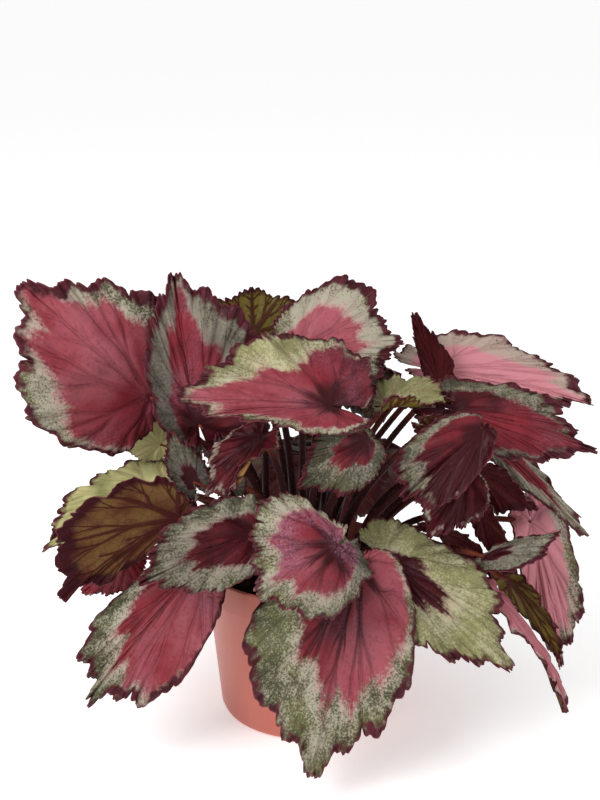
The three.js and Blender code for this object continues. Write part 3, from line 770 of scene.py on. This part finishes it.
def make_blade(leaf):
    columns, rows = leaf["mesh"]
    blade = added(bpy.ops.mesh.primitive_grid_add, x_subdivisions=columns, y_subdivisions=rows, size=1)
    blade.name = "leaf_" + leaf["name"]
    flat = np.array([point.co[:] for point in blade.data.vertices])
    side = -2 * flat[:, 0]
    reach = flat[:, 1] + 0.5
    widening = CROWDING * np.maximum(np.abs(side), 0.02) ** (CROWDING - 1) * ROUND_TO_NOTCH
    span = widening * margin_far(leaf, side) * np.sqrt(half_of(leaf, "wide", side))
    move_points(blade, blade_point(leaf, side, reach, teeth(leaf, side, reach),
                                   cushions(leaf, side, reach, span)))
    give(blade, "span", span)
    for name in LOOKS:
        give(blade, name, round_blade(side, leaf[name]))
    blade.data.materials.append(UPPER)
    blade.data.materials.append(UNDER)
    edit(MERGE)
    modify(blade, "SOLIDIFY", thickness=BLADE_THICKNESS * MM, offset=0, material_offset=1)
    bpy.ops.object.shade_smooth()
    return blade


print("each blade will carry", len(LOOKS), "looks:", *LOOKS)

# %% [markdown]
# A stalk rises from the compost and bends out to its blade. It could be a row of extruded rings, but a
# Bezier curve needs only its two ends and how they lean. The curve gets a round bevel, thicker at its
# foot, and is turned into a mesh. Begonia stalks are hairy: one hair is modelled as a three-sided cone,
# and its few faces are copied to random places on the stalk.

# %% Making a stalk and its hairs
STALK_FOOT = 74  # height of the buried end
STALK_RADII = (2.7, 1.6)  # at the foot and at the blade
TOP_SLIM = 0.45  # how much thinner a stalk gets where it runs into its blade
STALK_LEANS = (25, 110)  # degrees from upright where a high blade and a low one are met
LEAN_HEIGHTS = (245, 100)  # and the heights of such blades
ARCH = 60  # how much higher the stalk of a low blade reaches before it bends over
LAST_HANDLE = 0.3  # length of the curve's last handle, as a share of the way
STALK_STEPS = 120
HAIRS = 170
HAIR_RADIUS, HAIR_LENGTH = 0.11, (0.9, 2.1)
HAIRY = (0.16, 0.96)  # where along the stalk the hairs begin and end
HAIR_DEPTH = 0.97  # how far from the middle a hair starts, as a share of the stalk's radius


def points_and_faces(thing):
    """The points and faces of a model that is only kept to be copied."""
    shape = points_of(thing), [tuple(face.vertices) for face in thing.data.polygons]
    bpy.data.objects.remove(thing)
    return shape


HAIR_POINTS, HAIR_FACES = points_and_faces(added(
    bpy.ops.mesh.primitive_cone_add, vertices=3, radius1=HAIR_RADIUS * MM, depth=MM,
    location=(0, 0, 0), end_fill_type="TRIFAN"))
HAIR_POINTS += (0, 0, 0.5)
print("one hair:", len(HAIR_POINTS), "points,", len(HAIR_FACES), "faces")


def mesh_piece(name, points, edges=(), faces=(), paint=None):
    """A new object from points in millimetres."""
    mesh = bpy.data.meshes.new(name)
    mesh.from_pydata((np.asarray(points) * MM).tolist(), edges, faces)
    if paint:
        mesh.materials.append(paint)
    thing = bpy.data.objects.new(name, mesh)
    bpy.context.collection.objects.link(thing)
    return thing


def copies(name, shapes, faces, paint):
    """One object with many copies of a model: each shape is the list of the points of one copy."""
    many, size = shapes.shape[:2]
    all_faces = [tuple(i + k * size for i in face) for k in range(many) for face in faces]
    return mesh_piece(name, shapes.reshape(-1, 3), (), all_faces, paint)


def tube_from(curve, radius, roundness):
    """Turns a curve into a closed tube."""
    curve.data.bevel_depth = radius * MM
    curve.data.bevel_resolution = roundness
    curve.data.use_fill_caps = True
    bpy.ops.object.convert(target="MESH")
    edit(MERGE, FACE_OUT)
    return bpy.context.object


def scale_tube(tube, line, widths):
    """Widens or narrows a tube at each point of its centre line, and tells which one each point is at."""
    points = points_of(tube)
    nearest = np.linalg.norm(points[:, None] - line[None], axis=2).argmin(axis=1)
    centre = line[nearest]
    move_points(tube, centre + (points - centre) * widths[nearest][:, None])
    return nearest


def stalk_route(leaf):
    """The four points of the stalk's Bezier curve, in millimetres."""
    joint = np.array(leaf["joint"], float)
    base = np.array([*leaf["foot"], STALK_FOOT], float)
    low = np.clip((LEAN_HEIGHTS[0] - joint[2]) / (LEAN_HEIGHTS[0] - LEAN_HEIGHTS[1]), 0, 1)
    lean = math.radians(between(STALK_LEANS, low))
    outward = unit((joint - base) * (1, 1, 0))
    arrive = outward * math.sin(lean) + np.array([0, 0, math.cos(lean)])
    first = base + (0, 0, leaf["rise"] * (joint[2] - base[2]) + ARCH * low**3)
    last = joint - arrive * LAST_HANDLE * np.linalg.norm(joint - base)
    return base, first, last, joint


def on_route(route, share):
    """Places and directions along a Bezier curve."""
    a, b, c, d = route
    t = np.asarray(share)[:, None]
    place = a * (1 - t) ** 3 + 3 * b * t * (1 - t) ** 2 + 3 * c * t**2 * (1 - t) + d * t**3
    return place, unit(3 * (b - a) * (1 - t) ** 2 + 6 * (c - b) * t * (1 - t) + 3 * (d - c) * t**2)


def make_stalk(leaf):
    route = stalk_route(leaf)
    stalk = added(bpy.ops.curve.primitive_bezier_curve_add, location=(0, 0, 0))
    foot, top = stalk.data.splines[0].bezier_points
    for point in (foot, top):
        point.handle_left_type = point.handle_right_type = "FREE"
    foot.co, foot.handle_right, top.handle_left, top.co = (Vector(place) * MM for place in route)
    foot.handle_left, top.handle_right = foot.co, top.co
    foot.radius, top.radius = STALK_RADII
    stalk.data.resolution_u = 28
    stalk = tube_from(stalk, 1, 4)
    shares = np.linspace(0, 1, STALK_STEPS)
    nearest = scale_tube(stalk, on_route(route, shares)[0], 1 - TOP_SLIM * smooth(0.9, 1.0, shares))
    give(stalk, "along", shares[nearest])
    stalk.data.materials.append(STALK)
    bpy.ops.object.shade_smooth()
    return stalk


def make_hairs(leaf):
    seed, number = leaf["seed"] * 31, np.arange(HAIRS)
    share = between(HAIRY, chance(seed, number))
    root, way = on_route(stalk_route(leaf), share)
    across = unit(np.cross(way, (0.31, 0.52, 0.79)))  # any direction that no stalk has will do
    turn = 2 * math.pi * chance(seed + 1, number)[:, None]
    out = across * np.cos(turn) + np.cross(way, across) * np.sin(turn)
    radius = between(STALK_RADII, share) * (HAIR_DEPTH - 0.4 * smooth(0.9, 1.0, share))
    root = root + out * radius[:, None]
    up = unit(out + way * (chance(seed + 2, number)[:, None] - 0.4) * 0.9)
    first = unit(np.cross(up, way))
    second = np.cross(up, first)
    length = between(HAIR_LENGTH, chance(seed + 3, number))[:, None]
    x, y, z = HAIR_POINTS.T[:, None, :, None]
    points = root[:, None] + first[:, None] * x + second[:, None] * y + (up * length)[:, None] * z
    return copies("hairs", points, HAIR_FACES, HAIR)

# %% [markdown]
# The leaves are listed with the same numbers as in the CAD frame, because each fine leaf stands exactly
# where its solid does. A fine copy of the solid itself could be sculpted, but it would have no map for
# the veins. Each row gives, in millimetres, the joint of stalk and blade and the tip, then the way the
# upper face looks, and the foot of the stalk in the compost. What follows are only the values that differ
# from those of a plain leaf. Where a width, a lobe or a roll has two numbers, the first is for the left
# half, seen from above with the tip ahead. Where a look has several, they run from the left lobe over the
# tip to the right lobe.

# %% The list of leaves
PLAIN_LEAF = dict(
    wide=0.75, full=0.08, lobe=1,  # width of a half, swell of its shoulder, size of its basal lobe
    droop=28, fold=6, roll=10,  # how far it bends along and across the midrib, in degrees
    ruffle=3, waves=5, cuts=32,  # height of the margin's waves, how many they are, and how many teeth
    rise=0.45, mesh=(256, 20),  # how straight up the stalk starts, and the columns and rows of the grid
    colour="pink",  # the slot in the record
    heart=(0.6, 0.7, 0.6), tone=0.2,  # how far out the heart reaches, how wine-red it is
    star=0.3, frost=0.3,  # how dark the star round the stalk is, which is partly painted shade, and how strong the heart's painted lilac sheen is
    green=0.4, dull=0.15, pale=0,  # how mottled the band is, how much painted shade darkens it, and how yellow-green it is
    rim=0.06, under=0.6, amber=0)  # width of the maroon margin, how maroon the underside is, and how much painted amber light shines through it
SMALL_LEAF = {**PLAIN_LEAF, "ruffle": 1.5, "waves": 4, "cuts": 20, "mesh": (160, 14)}
YOUNG_LEAF = {**SMALL_LEAF, "wide": 0.55, "colour": "wine", "heart": (0.45, 0.4, 0.45), "tone": 0.9,
              "frost": 0.1, "green": 0.5, "dull": 0.7, "rim": 0.1}
BACK_LEAF = {**PLAIN_LEAF, "lobe": 0.7, "cuts": 20, "mesh": (192, 16)}
leaves = []


def leaf(name, joint, tip, face, foot, plain=PLAIN_LEAF, **more):
    """Adds a leaf to the list."""
    row = {**plain, **more, "name": name, "joint": joint, "tip": tip, "face": face, "foot": foot}
    row["seed"] = len(leaves) + 1
    for pair in ("wide", "lobe", "roll"):
        row[pair] = np.resize(row[pair], 2)
    leaves.append(row)


# the front, from the left to the right
leaf("front_low", (30, -75, 128), (4, -122, 22), (-0.1, -0.85, 0.45), (18, -44), wide=(0.54, 0.68),
     full=0.18, lobe=(0.2, 0.3), droop=24,
     heart=(0.95, 0.74, 0.66, 0.52, 0.55), tone=(0, 0.05, 0.2, 0.7, 0.8), star=0.9, green=0.72,
     dull=(0, 0, 0.05, 0.2, 0.3), rim=0.045)
leaf("front_heart", (17, -108, 154), (-25, -132, 135), (-0.15, -0.9, 0.45), (4, -34), wide=(0.9, 1.15),
     full=0.2, lobe=(0.8, 0.5), droop=50, rise=0.85,
     colour="silver", heart=(0.62, 0.7, 0.72, 0.74, 0.7), tone=(0.8, 0.3, 0.15, 0.3, 0.5), star=0.7,
     frost=1, green=0.6, dull=(0.8, 0.3, 0.1, 0.1, 0.2), rim=0.04)
leaf("silver_left", (-26, -88, 153), (-90, -110, 133), (-0.1, -0.8, 0.5), (-6, -40), wide=(0.52, 0.6),
     full=0.14, lobe=(0.8, 0.6), droop=20,
     colour="silver", heart=(0.62, 0.6, 0.64, 0.56, 0.52), tone=(0.8, 0.7), star=0.25, frost=0.05,
     green=0.5, dull=0.42, rim=0.05)
leaf("low_left", (-59, -58, 121), (-123, -87, 48), (-0.1, -0.8, 0.5), (-30, -31), wide=(0.44, 0.35),
     full=0.34, lobe=(0.45, 0.5), droop=20,
     heart=(1, 0.92, 0.74, 0.62, 0.72), tone=(0.05, 0.12, 0.2, 0.45, 0.5), star=0.35, frost=0.4, green=0.65,
     dull=0.05, rim=0.05)
leaf("silver_low_right", (45, -63, 125), (114, -97, 74), (0.2, -0.75, 0.55), (30, -38), wide=(0.58, 0.48),
     full=0.14, lobe=(0.7, 0.35), droop=20,
     colour="silver", heart=(0.2, 0.4, 0.55, 0.4, 0.2), tone=0.8, star=0.5, frost=0.25, green=0.6,
     dull=0.05, pale=0.3, rim=0.05)
leaf("folded_left", (-72, -62, 150), (-137, -82, 110), (0.1, 0.8, 0.55), (-23, -25), wide=(0.95, 0.3),
     full=0.2, lobe=(0.5, 0.4), droop=30, colour="olive", heart=0.6, rim=0.12, under=0.62, amber=0.12)
leaf("pale_left", (-84, -30, 156), (-153, -48, 125), (0, -0.6, 0.75), (-31, -9), wide=(0.5, 0.58), full=0.1,
     lobe=(0.7, 0.5), colour="pale", heart=-1, green=0.6, pale=0.95, rim=0.04, under=0.2)
leaf("amber_fold", (-25, -62, 199), (-55, -73, 168), (-0.2, -0.8, 0.5), (-8, -24), wide=(0.8, 0.6),
     lobe=0.6, roll=(-80, 10),
     colour="red", heart=(0.9, 0.9, 0.95), tone=(0.5, 0.8), frost=0.1, rim=0.03, amber=0.9)
leaf("dull_middle", (33, -81, 204), (-3, -86, 178), (0, -0.9, 0.3), (7, -26), wide=(0.8, 0.75), lobe=0.3,
     colour="wine", heart=(0.5, 0.5, 0.55, 0.45, 0.45), tone=(0.6, 0.5), frost=0.9, green=0.75, dull=0.5)
# Its tone is highest on its left half, the lower one, where it paints the shade that falls there as well as
# the leaf's own wine-red.
leaf("wine_right", (96, -76, 209), (52, -90, 173), (-0.2, -0.85, 0.4), (20, -26), wide=(0.42, 0.46),
     full=0.4, lobe=(0.2, 0.1),
     colour="wine", heart=(1, 0.95, 0.7, 0.72, 0.8), tone=(1.4, 1.25, 0.85, 0.45, 0.4), frost=0, green=0.6,
     dull=0.5, rim=0.08)
leaf("wine_under", (92, -55, 174), (69, -64, 140), (0, -0.8, 0.5), (29, -19), wide=0.8, lobe=0.3,
     colour="wine", heart=0.9, tone=0.95, frost=0, rim=0.08)
# the crown
leaf("crown_front", (13, -85, 224), (-67, -108, 234), (-0.05, -0.7, 0.7), (1, -20), wide=(0.38, 0.95),
     full=0, lobe=(0.8, 1), droop=22,
     heart=(0.85, 0.76, 0.9, 0.5, 0.95), tone=(0.3, 0.1, 0, 0.15, 0.6), star=0.6, frost=0.5, green=0.6,
     dull=0, pale=(0, 0, 0.1, 0.35, 0.1), rim=0.05)
leaf("upper_left", (-89, -32, 213), (-153, -62, 286), (-0.15, -0.85, 0.45), (-15, -3), wide=(0.88, 0.7),
     full=0.12, lobe=(0.5, 0.7), droop=20,
     heart=(1, 0.68, 0.98, 0.74, 0.95), tone=(0.4, 0.2, 0.05, 0.15, 0.35), star=0.25, green=0.5, dull=0.08,
     rim=0.07)
leaf("pink_upright", (-60, -50, 202), (-73, -42, 287), (0, -0.9, 0.35), (-13, -13), wide=(0.42, 0.78),
     full=0.17, lobe=0.8, droop=50,
     heart=(0.6, 0.5, 0.9, 0.5, 0.9), tone=(0.7, 0.6, 0.3, 0.6, 0.75), frost=0.5,
     dull=(0.85, 0.85, 0.5, 0.6, 0.5), rim=0.08)
leaf("olive_top", (-31, 0, 242), (-32, 10, 268), (0, 1, 0.2), (-6, 3), SMALL_LEAF, wide=(1.7, 1.6),
     full=0.2, lobe=0.6, colour="olive", rim=0.05, under=0.1)
leaf("silver_top", (-3, -42, 243), (54, -26, 244), (0, -0.85, 0.4), (-1, -7), wide=(0.96, 0.6), full=0.25,
     lobe=(0.7, 0.6),
     colour="silver", heart=(0.5, 0.62, 0.64, 0.6, 0.45), tone=(-0.2, -0.3), star=0, green=0.25, dull=-0.2,
     rim=0.09)
leaf("olive_fold", (46, -48, 213), (83, -50, 216), (0, -0.5, 0.85), (6, -14), wide=(1, 0.8),
     lobe=(0.7, 0.6), roll=(10, -100),
     colour="olive", heart=(0.3, 0.3, 0.2), frost=1, green=0.9, pale=0.3, rim=0.03, under=0)
leaf("upper_right", (78, 2, 219), (173, 4, 198), (0, -0.75, 0.65), (10, 5), wide=(0.48, 0.2),
     lobe=(0.7, 0.5), roll=(10, 120),
     heart=(0.6, 0.62, 0.9, 0.85, 0.85), tone=-1, star=0, green=0.15, dull=-0.2, rim=0.07, under=0.8)
leaf("red_sail", (79, -14, 214), (62, -6, 256), (0.3, 0.9, 0.2), (20, 1), SMALL_LEAF, wide=(0.42, 0.3),
     colour="red", heart=1, tone=0.6, under=0.95)
# the right-hand side
leaf("right_main", (83, -44, 209), (163, -53, 187), (0, -0.75, 0.65), (14, -6), wide=(0.48, 0.45),
     full=0.12, lobe=0.7,
     heart=(0.6, 0.62, 0.98, 0.85, 0.85), tone=(0.8, 0.65, 0.3, 0.6, 0.75), frost=0.25, green=0.7,
     dull=0.55, rim=0.1)
leaf("right_fold", (70, -59, 203), (92, -63, 182), (0.5, 0.8, 0.4), (15, -17), SMALL_LEAF, lobe=0.9,
     colour="red", rim=0.03)
leaf("right_edge", (103, -22, 188), (166, -28, 125), (0.3, -0.8, 0.5), (29, 3), wide=(0.17, 0.18), full=0.1,
     lobe=0.4,
     heart=(0.55, 0.6, 0.7, 0.55, 0.5), tone=(0.1, 0.3), green=0.3, dull=0.3, rim=0.07, under=0.3)
leaf("under_right", (95, -44, 175), (134, -48, 149), (0.3, 0.85, 0.4), (27, -9), SMALL_LEAF,
     wide=(1.2, 0.3), lobe=0.4, colour="wine", rim=0.08, under=0.95)
leaf("far_right_low", (137, -14, 128), (156, -32, 40), (0.15, -0.9, 0.35), (46, 3), wide=(0.42, 0.28),
     full=0.1, lobe=(0.9, 0.7),
     heart=(0.6, 0.65, 0.9, 0.95, 0.95), tone=-0.8, star=0, frost=0.4, green=0.6, rim=0.04)
leaf("strap_high", (102, -42, 145), (118, -52, 110), (0.3, 0.8, 0.3), (37, -6), SMALL_LEAF, wide=0.4,
     colour="red", rim=0.03, under=0.75)
leaf("strap_low", (81, -36, 131), (111, -45, 104), (0.3, 0.8, 0.5), (44, -16), SMALL_LEAF, wide=0.4,
     colour="wine", rim=0.05, under=0.85)
leaf("dark_sliver", (103, -56, 124), (146, -58, 139), (0, -0.45, 0.9), (36, -22), SMALL_LEAF,
     wide=(0.1, 0.6), full=0.2, lobe=0.4,
     colour="wine", heart=(0.4, 0.4, 0.35), tone=0.9, dull=0.4, rim=0.12)
leaf("olive_low", (120, -40, 102), (151, -56, 58), (0.6, 0.7, 0.3), (47, -9), SMALL_LEAF, wide=0.4,
     lobe=0.7, colour="olive", rim=0.05, under=0)
leaf("pink_sliver", (107, -56, 104), (152, -76, 34), (0.82, -0.1, 0.57), (46, -26), SMALL_LEAF, wide=0.3,
     lobe=0.6, heart=0.95, tone=-0.6, star=0, rim=0.03)
# small and young leaves
leaf("pale_small", (-86, -15, 178), (-110, -11, 183), (0, -0.8, 0.5), (-24, 1), SMALL_LEAF, wide=0.9,
     lobe=0.7, colour="pale", heart=-1, pale=1, rim=0.02, under=0.1)
leaf("pink_tuck", (-70, -50, 160), (-104, -58, 156), (0, -0.7, 0.7), (-24, -16), SMALL_LEAF, wide=0.5,
     lobe=0.7, heart=(0.65, 0.75, 0.6), tone=(0.15, 0.3), green=0.3)
leaf("young_left", (-63, -64, 173), (-75, -69, 205), (0, -0.9, 0.3), (-15, -37), YOUNG_LEAF)
leaf("young_right", (-43, -50, 167), (-49, -53, 199), (0, -0.9, 0.3), (-12, -31), YOUNG_LEAF)
leaf("red_scrap", (-106, -40, 115), (-131, -48, 97), (0, -0.9, 0.3), (-41, -16), SMALL_LEAF,
     wide=(0.8, 0.7), colour="red", heart=1, tone=0.3, rim=0.03)
# the back
leaf("back_left", (-70, 34, 195), (-138, 66, 178), (-0.4, 0.3, 0.85), (-16, 9), BACK_LEAF,
     colour="silver", heart=(0.5, 0.4, 0.6, 0.45, 0.5), tone=(0.3, 0.2))
leaf("back_left_low", (-80, 25, 155), (-145, 60, 100), (-0.5, 0.3, 0.6), (-31, 10), BACK_LEAF,
     heart=(0.75, 0.65, 0.8, 0.6, 0.7), tone=(0.2, 0.4), green=0.5)
leaf("back_middle_left", (-32, 58, 208), (-52, 122, 142), (-0.2, 0.5, 0.8), (-7, 14), BACK_LEAF,
     wide=(0.52, 0.7), heart=(0.7, 0.6, 0.8, 0.65, 0.7), tone=(0.15, 0.3), star=0.5)
leaf("back_middle", (33, 60, 208), (52, 124, 142), (0.1, 0.5, 0.8), (4, 13), BACK_LEAF, wide=(0.7, 0.42),
     colour="silver", heart=(0.4, 0.45, 0.5, 0.45, 0.45), tone=(0.3, 0.2), star=0.8, green=0.3)
leaf("back_right", (62, 45, 190), (120, 95, 160), (0.4, 0.4, 0.8), (15, 13), BACK_LEAF, lobe=1,
     heart=(0.75, 0.65, 0.85, 0.6, 0.7), tone=(0.3, 0.15), green=0.5)
leaf("back_right_low", (88, 28, 150), (148, 68, 95), (0.5, 0.4, 0.6), (30, 12), BACK_LEAF, lobe=1,
     colour="silver", heart=(0.45, 0.5, 0.4), tone=(0.4, 0.3), star=0.7, green=0.5)
leaf("back_low_left", (-20, 68, 150), (-35, 135, 80), (-0.1, 0.8, 0.5), (-8, 31), BACK_LEAF,
     lobe=(0.7, 0.4), colour="wine", heart=(0.75, 0.9, 0.8), tone=(0.7, 0.6))
leaf("back_low_right", (38, 68, 152), (64, 124, 78), (0.3, 0.7, 0.5), (14, 32), BACK_LEAF,
     wide=(0.75, 0.55), lobe=(0.7, 0.4), heart=(0.7, 0.6, 0.8, 0.6, 0.7), tone=(0.2, 0.3), green=0.6)
leaf("back_low_middle", (14, 76, 136), (22, 112, 56), (0, 0.8, 0.5), (4, 38), BACK_LEAF, wide=(0.9, 0.78),
     lobe=0.5, colour="wine", heart=(0.8, 0.9, 0.8), tone=0.8, green=0.3, under=0.95)
leaf("crown_back_left", (-24, 20, 228), (-66, 62, 226), (-0.2, 0.25, 0.9), (-24, 9), BACK_LEAF,
     heart=(0.7, 0.6, 0.8, 0.55, 0.65), tone=(0.2, 0.3), green=0.35)
leaf("crown_back_right", (24, 20, 230), (46, 74, 212), (0.15, 0.25, 0.9), (2, 4), BACK_LEAF,
     colour="silver", heart=(0.4, 0.6, 0.45), tone=(0.2, 0.3), green=0.3)
leaf("back_high_middle", (5, 80, 190), (5, 128, 126), (0, 0.8, 0.5), (13, 50), BACK_LEAF, wide=(0.45, 0.42),
     lobe=(0.2, 0.15), tone=(0.5, 0.4), green=0.5, under=0.9)
print(len(leaves), "leaves in the list")

# %% [markdown]
# Now every leaf is put together: the blade, its stalk and the hairs are joined into one piece, because they
# are grown as one. They could stay three objects that ride together, but one piece is easier to move and to
# count. It rides on the plant's only body and stands in for its solid.


# %% Building the leaves
def joined(main, *others):
    """Joins the others into the main object."""
    only(main, *others)
    bpy.ops.object.join()
    return main


faces = 0
for one in leaves:
    blade = make_blade(one)
    blade = joined(blade, make_stalk(one), make_hairs(one))
    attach(blade, "root")
    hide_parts("leaf_" + one["name"])
    faces += len(blade.data.polygons)
print(len(leaves), "leaves,", faces, "faces")

# %% [markdown]
# The pot is moulded in one piece. A cylinder could be extruded and scaled ring by ring. It is quicker,
# and nearer to how its mould is turned, to draw the section as a line of points and spin it once round
# the middle. Real mouldings have no sharp corners, so a bevel rounds them all a little. The drain holes
# in the floor are cut with small cylinders.

# %% Pot
POT_SECTION = [(0, 0), (48, 0), (51.5, 1.5), (53, 5), (61, 83), (64.4, 83), (65, 99.1), (64.1, 100),
               (63.4, 100), (62.8, 84.6), (59.4, 83), (51.4, 5), (48, 1.6), (0, 1.6)]  # radius, height
POT_STEPS = 128
DRAINS, DRAIN_RADIUS, DRAIN_CIRCLE = 6, 4, 32


def turned(name, section, steps):
    """Spins a section of (radius, height) pairs in millimetres once round the upright axis."""
    edges = [(k, k + 1) for k in range(len(section) - 1)]
    thing = mesh_piece(name, [(radius, 0, height) for radius, height in section], edges)
    only(thing)
    once = {"steps": steps, "angle": 2 * math.pi, "center": (0, 0, 0), "axis": (0, 0, 1)}
    edit((bpy.ops.mesh.spin, once), (bpy.ops.mesh.select_all, {"action": "SELECT"}), MERGE, FACE_OUT)
    return thing


pot = turned("pot_shell", POT_SECTION, POT_STEPS)
modify(pot, "BEVEL", width=0.5 * MM, segments=3, limit_method="ANGLE", angle_limit=math.radians(25))
for k in range(DRAINS):
    turn = 2 * math.pi * (k + 0.5) / DRAINS
    place = Vector((math.cos(turn), math.sin(turn), 0)) * DRAIN_CIRCLE * MM
    drill = added(bpy.ops.mesh.primitive_cylinder_add, vertices=32, radius=DRAIN_RADIUS * MM,
                  depth=6 * MM, location=place)
    modify(pot, "BOOLEAN", object=drill, operation="DIFFERENCE")
    bpy.data.objects.remove(drill)
bpy.ops.object.shade_smooth_by_angle(angle=math.radians(35))
pot.data.materials.clear()
pot.data.materials.append(POT)
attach(pot, "root")
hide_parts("pot")
print("pot:", len(pot.data.polygons), "faces")

# %% [markdown]
# The compost is a low mound, spun like the pot. Only its top is seen, so only that is subdivided, and
# roughened with a displacement that follows a cloud texture. On it lie crumbs of peat and a few grains of
# perlite. A particle system could strew them, but copies made in code lie in the same places every time.
# So one grain is modelled as a crumpled ball, and copied to each place with its own size and turn.

# %% Compost
SOIL_SECTION = [(0, 2), (47.6, 2), (51, 5.4), (58.6, 82), (54, 83), (50, 84), (44, 85), (38, 86.2),
                (31, 87.6), (23.5, 89), (16, 89.8), (8, 90.6), (0, 91)]
SOIL_STEPS = 96
SOIL_TOP = 80  # height from which the mound is subdivided
SOIL_EDGE = 57.5  # radius up to which it is roughened
STREWN = 56.5  # radius of the part that grains lie on
GRAIN_BUMPS = 0.5  # from its innermost to its outermost point, as a share of its radius
GRAIN_STRETCH, GRAIN_FLAT = (0.6, 1.4), 0.8  # its length and its height, for a width of 1
GRAIN_SUNK = 0.1  # how deep it lies in the compost, as a share of its width


def lump(thing, name, size, depth, height, middle, group=""):
    """Displaces a surface along its normals with a cloud texture."""
    clouds = bpy.data.textures.new(name, "CLOUDS")
    clouds.noise_scale = size * MM
    clouds.noise_depth = depth
    modify(thing, "DISPLACE", texture=clouds, texture_coords="LOCAL", strength=height * MM,
           mid_level=middle, vertex_group=group)
    bpy.ops.object.shade_smooth()


soil = turned("compost_mound", SOIL_SECTION, SOIL_STEPS)
edit((bpy.ops.mesh.subdivide, {"number_cuts": 3}), where=lambda centre: centre.z > SOIL_TOP)
x, y, z = points_of(soil).T
inner = np.flatnonzero((z > SOIL_TOP + 1) & (np.hypot(x, y) < SOIL_EDGE))
soil.vertex_groups.new(name="top").add(inner.tolist(), 1.0, "REPLACE")
lump(soil, "clods", 9, 3, 2.6, 0.62, "top")
soil.data.materials.append(COMPOST)

GRAIN_POINTS, GRAIN_FACES = points_and_faces(added(
    bpy.ops.mesh.primitive_ico_sphere_add, subdivisions=2, radius=0.5 * MM))
GRAIN_POINTS *= 1 + GRAIN_BUMPS * (chance(3, np.arange(len(GRAIN_POINTS))) - 0.5)[:, None]


def scatter(name, seed, count, sizes, paint):
    """Copies the grain to random places on the mound."""
    number = np.arange(count)
    radius = STREWN * np.sqrt(chance(seed, number))
    turn = 2 * math.pi * chance(seed + 1, number)
    top = np.array(SOIL_SECTION[:2:-1])
    height = np.interp(radius, top[:, 0], top[:, 1])
    size = between(sizes, chance(seed + 2, number) ** 2)  # squared, so that most are small
    stretch = between(GRAIN_STRETCH, chance(seed + 3, number))
    spin = 2 * math.pi * chance(seed + 4, number)
    shapes = GRAIN_POINTS * np.stack([size * stretch, size, size * GRAIN_FLAT], axis=1)[:, None]
    x, y, z = np.moveaxis(shapes, 2, 0)
    c, s = np.cos(spin)[:, None], np.sin(spin)[:, None]
    height = height - GRAIN_SUNK * size
    middle = np.stack([radius * np.cos(turn), radius * np.sin(turn), height], axis=1)
    shapes = np.stack([x * c - y * s, x * s + y * c, z], axis=2) + middle[:, None]
    return copies(name, shapes, GRAIN_FACES, paint)


crumbs = scatter("crumbs", 11, 700, (1.0, 4.0), COMPOST)
white_grains = scatter("white_grains", 23, 60, (1.2, 3.2), PERLITE)
joined(soil, crumbs, white_grains)
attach(soil, "root")
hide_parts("soil")
print("compost:", len(soil.data.polygons), "faces")

# %% [markdown]
# A rex begonia creeps: its stem lies on the compost as a thick rhizome, ringed with the scars of old
# leaves. A cylinder with bends would have kinks, so a tube is bevelled along a smooth curve. Its rings
# are widened at every scar, its ends are drawn in, and a fine displacement makes it corky.

# %% Rhizome
RHIZOME = [(-42, 17, 79), (-34, 21, 86), (-20, 21, 88), (-6, 22.5, 89), (10, 22.5, 89), (26, 22, 88),
           (38, 26, 85), (44, 28, 79)]
RHIZOME_RADIUS = 4.3
SCARS = 17
SCAR_HEIGHT, END_SLIM = 0.10, 0.25  # as shares of the radius
STEPS_BETWEEN = 40

rhizome = added(bpy.ops.curve.primitive_nurbs_path_add, location=(0, 0, 0))
rhizome.name = "creeping_stem"
spline = rhizome.data.splines[0]
spline.points.add(len(RHIZOME) - len(spline.points))
for point, place in zip(spline.points, RHIZOME):
    point.co = (*(Vector(place) * MM), 1)
spline.use_endpoint_u = True
spline.order_u = 3
spline.resolution_u = 16
rhizome = tube_from(rhizome, RHIZOME_RADIUS, 6)
edit((bpy.ops.mesh.subdivide, {"number_cuts": 1}))
path = np.array(RHIZOME, float)
steps = np.linspace(0, 1, STEPS_BETWEEN)[:, None]
line = np.concatenate([between(pair, steps) for pair in zip(path, path[1:])])
share = np.arange(len(line)) / len(line)
ring = np.abs((share * SCARS) % 1 - 0.5) * 2
scale_tube(rhizome, line, 1 + SCAR_HEIGHT * ring**4 - END_SLIM * smooth(0.9, 1.0, np.abs(2 * share - 1)))
lump(rhizome, "cork", 3, 2, 0.8, 0.6)
rhizome.data.materials.append(BARK)
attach(rhizome, "root")
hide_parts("rhizome")
print("rhizome:", len(rhizome.data.polygons), "faces")
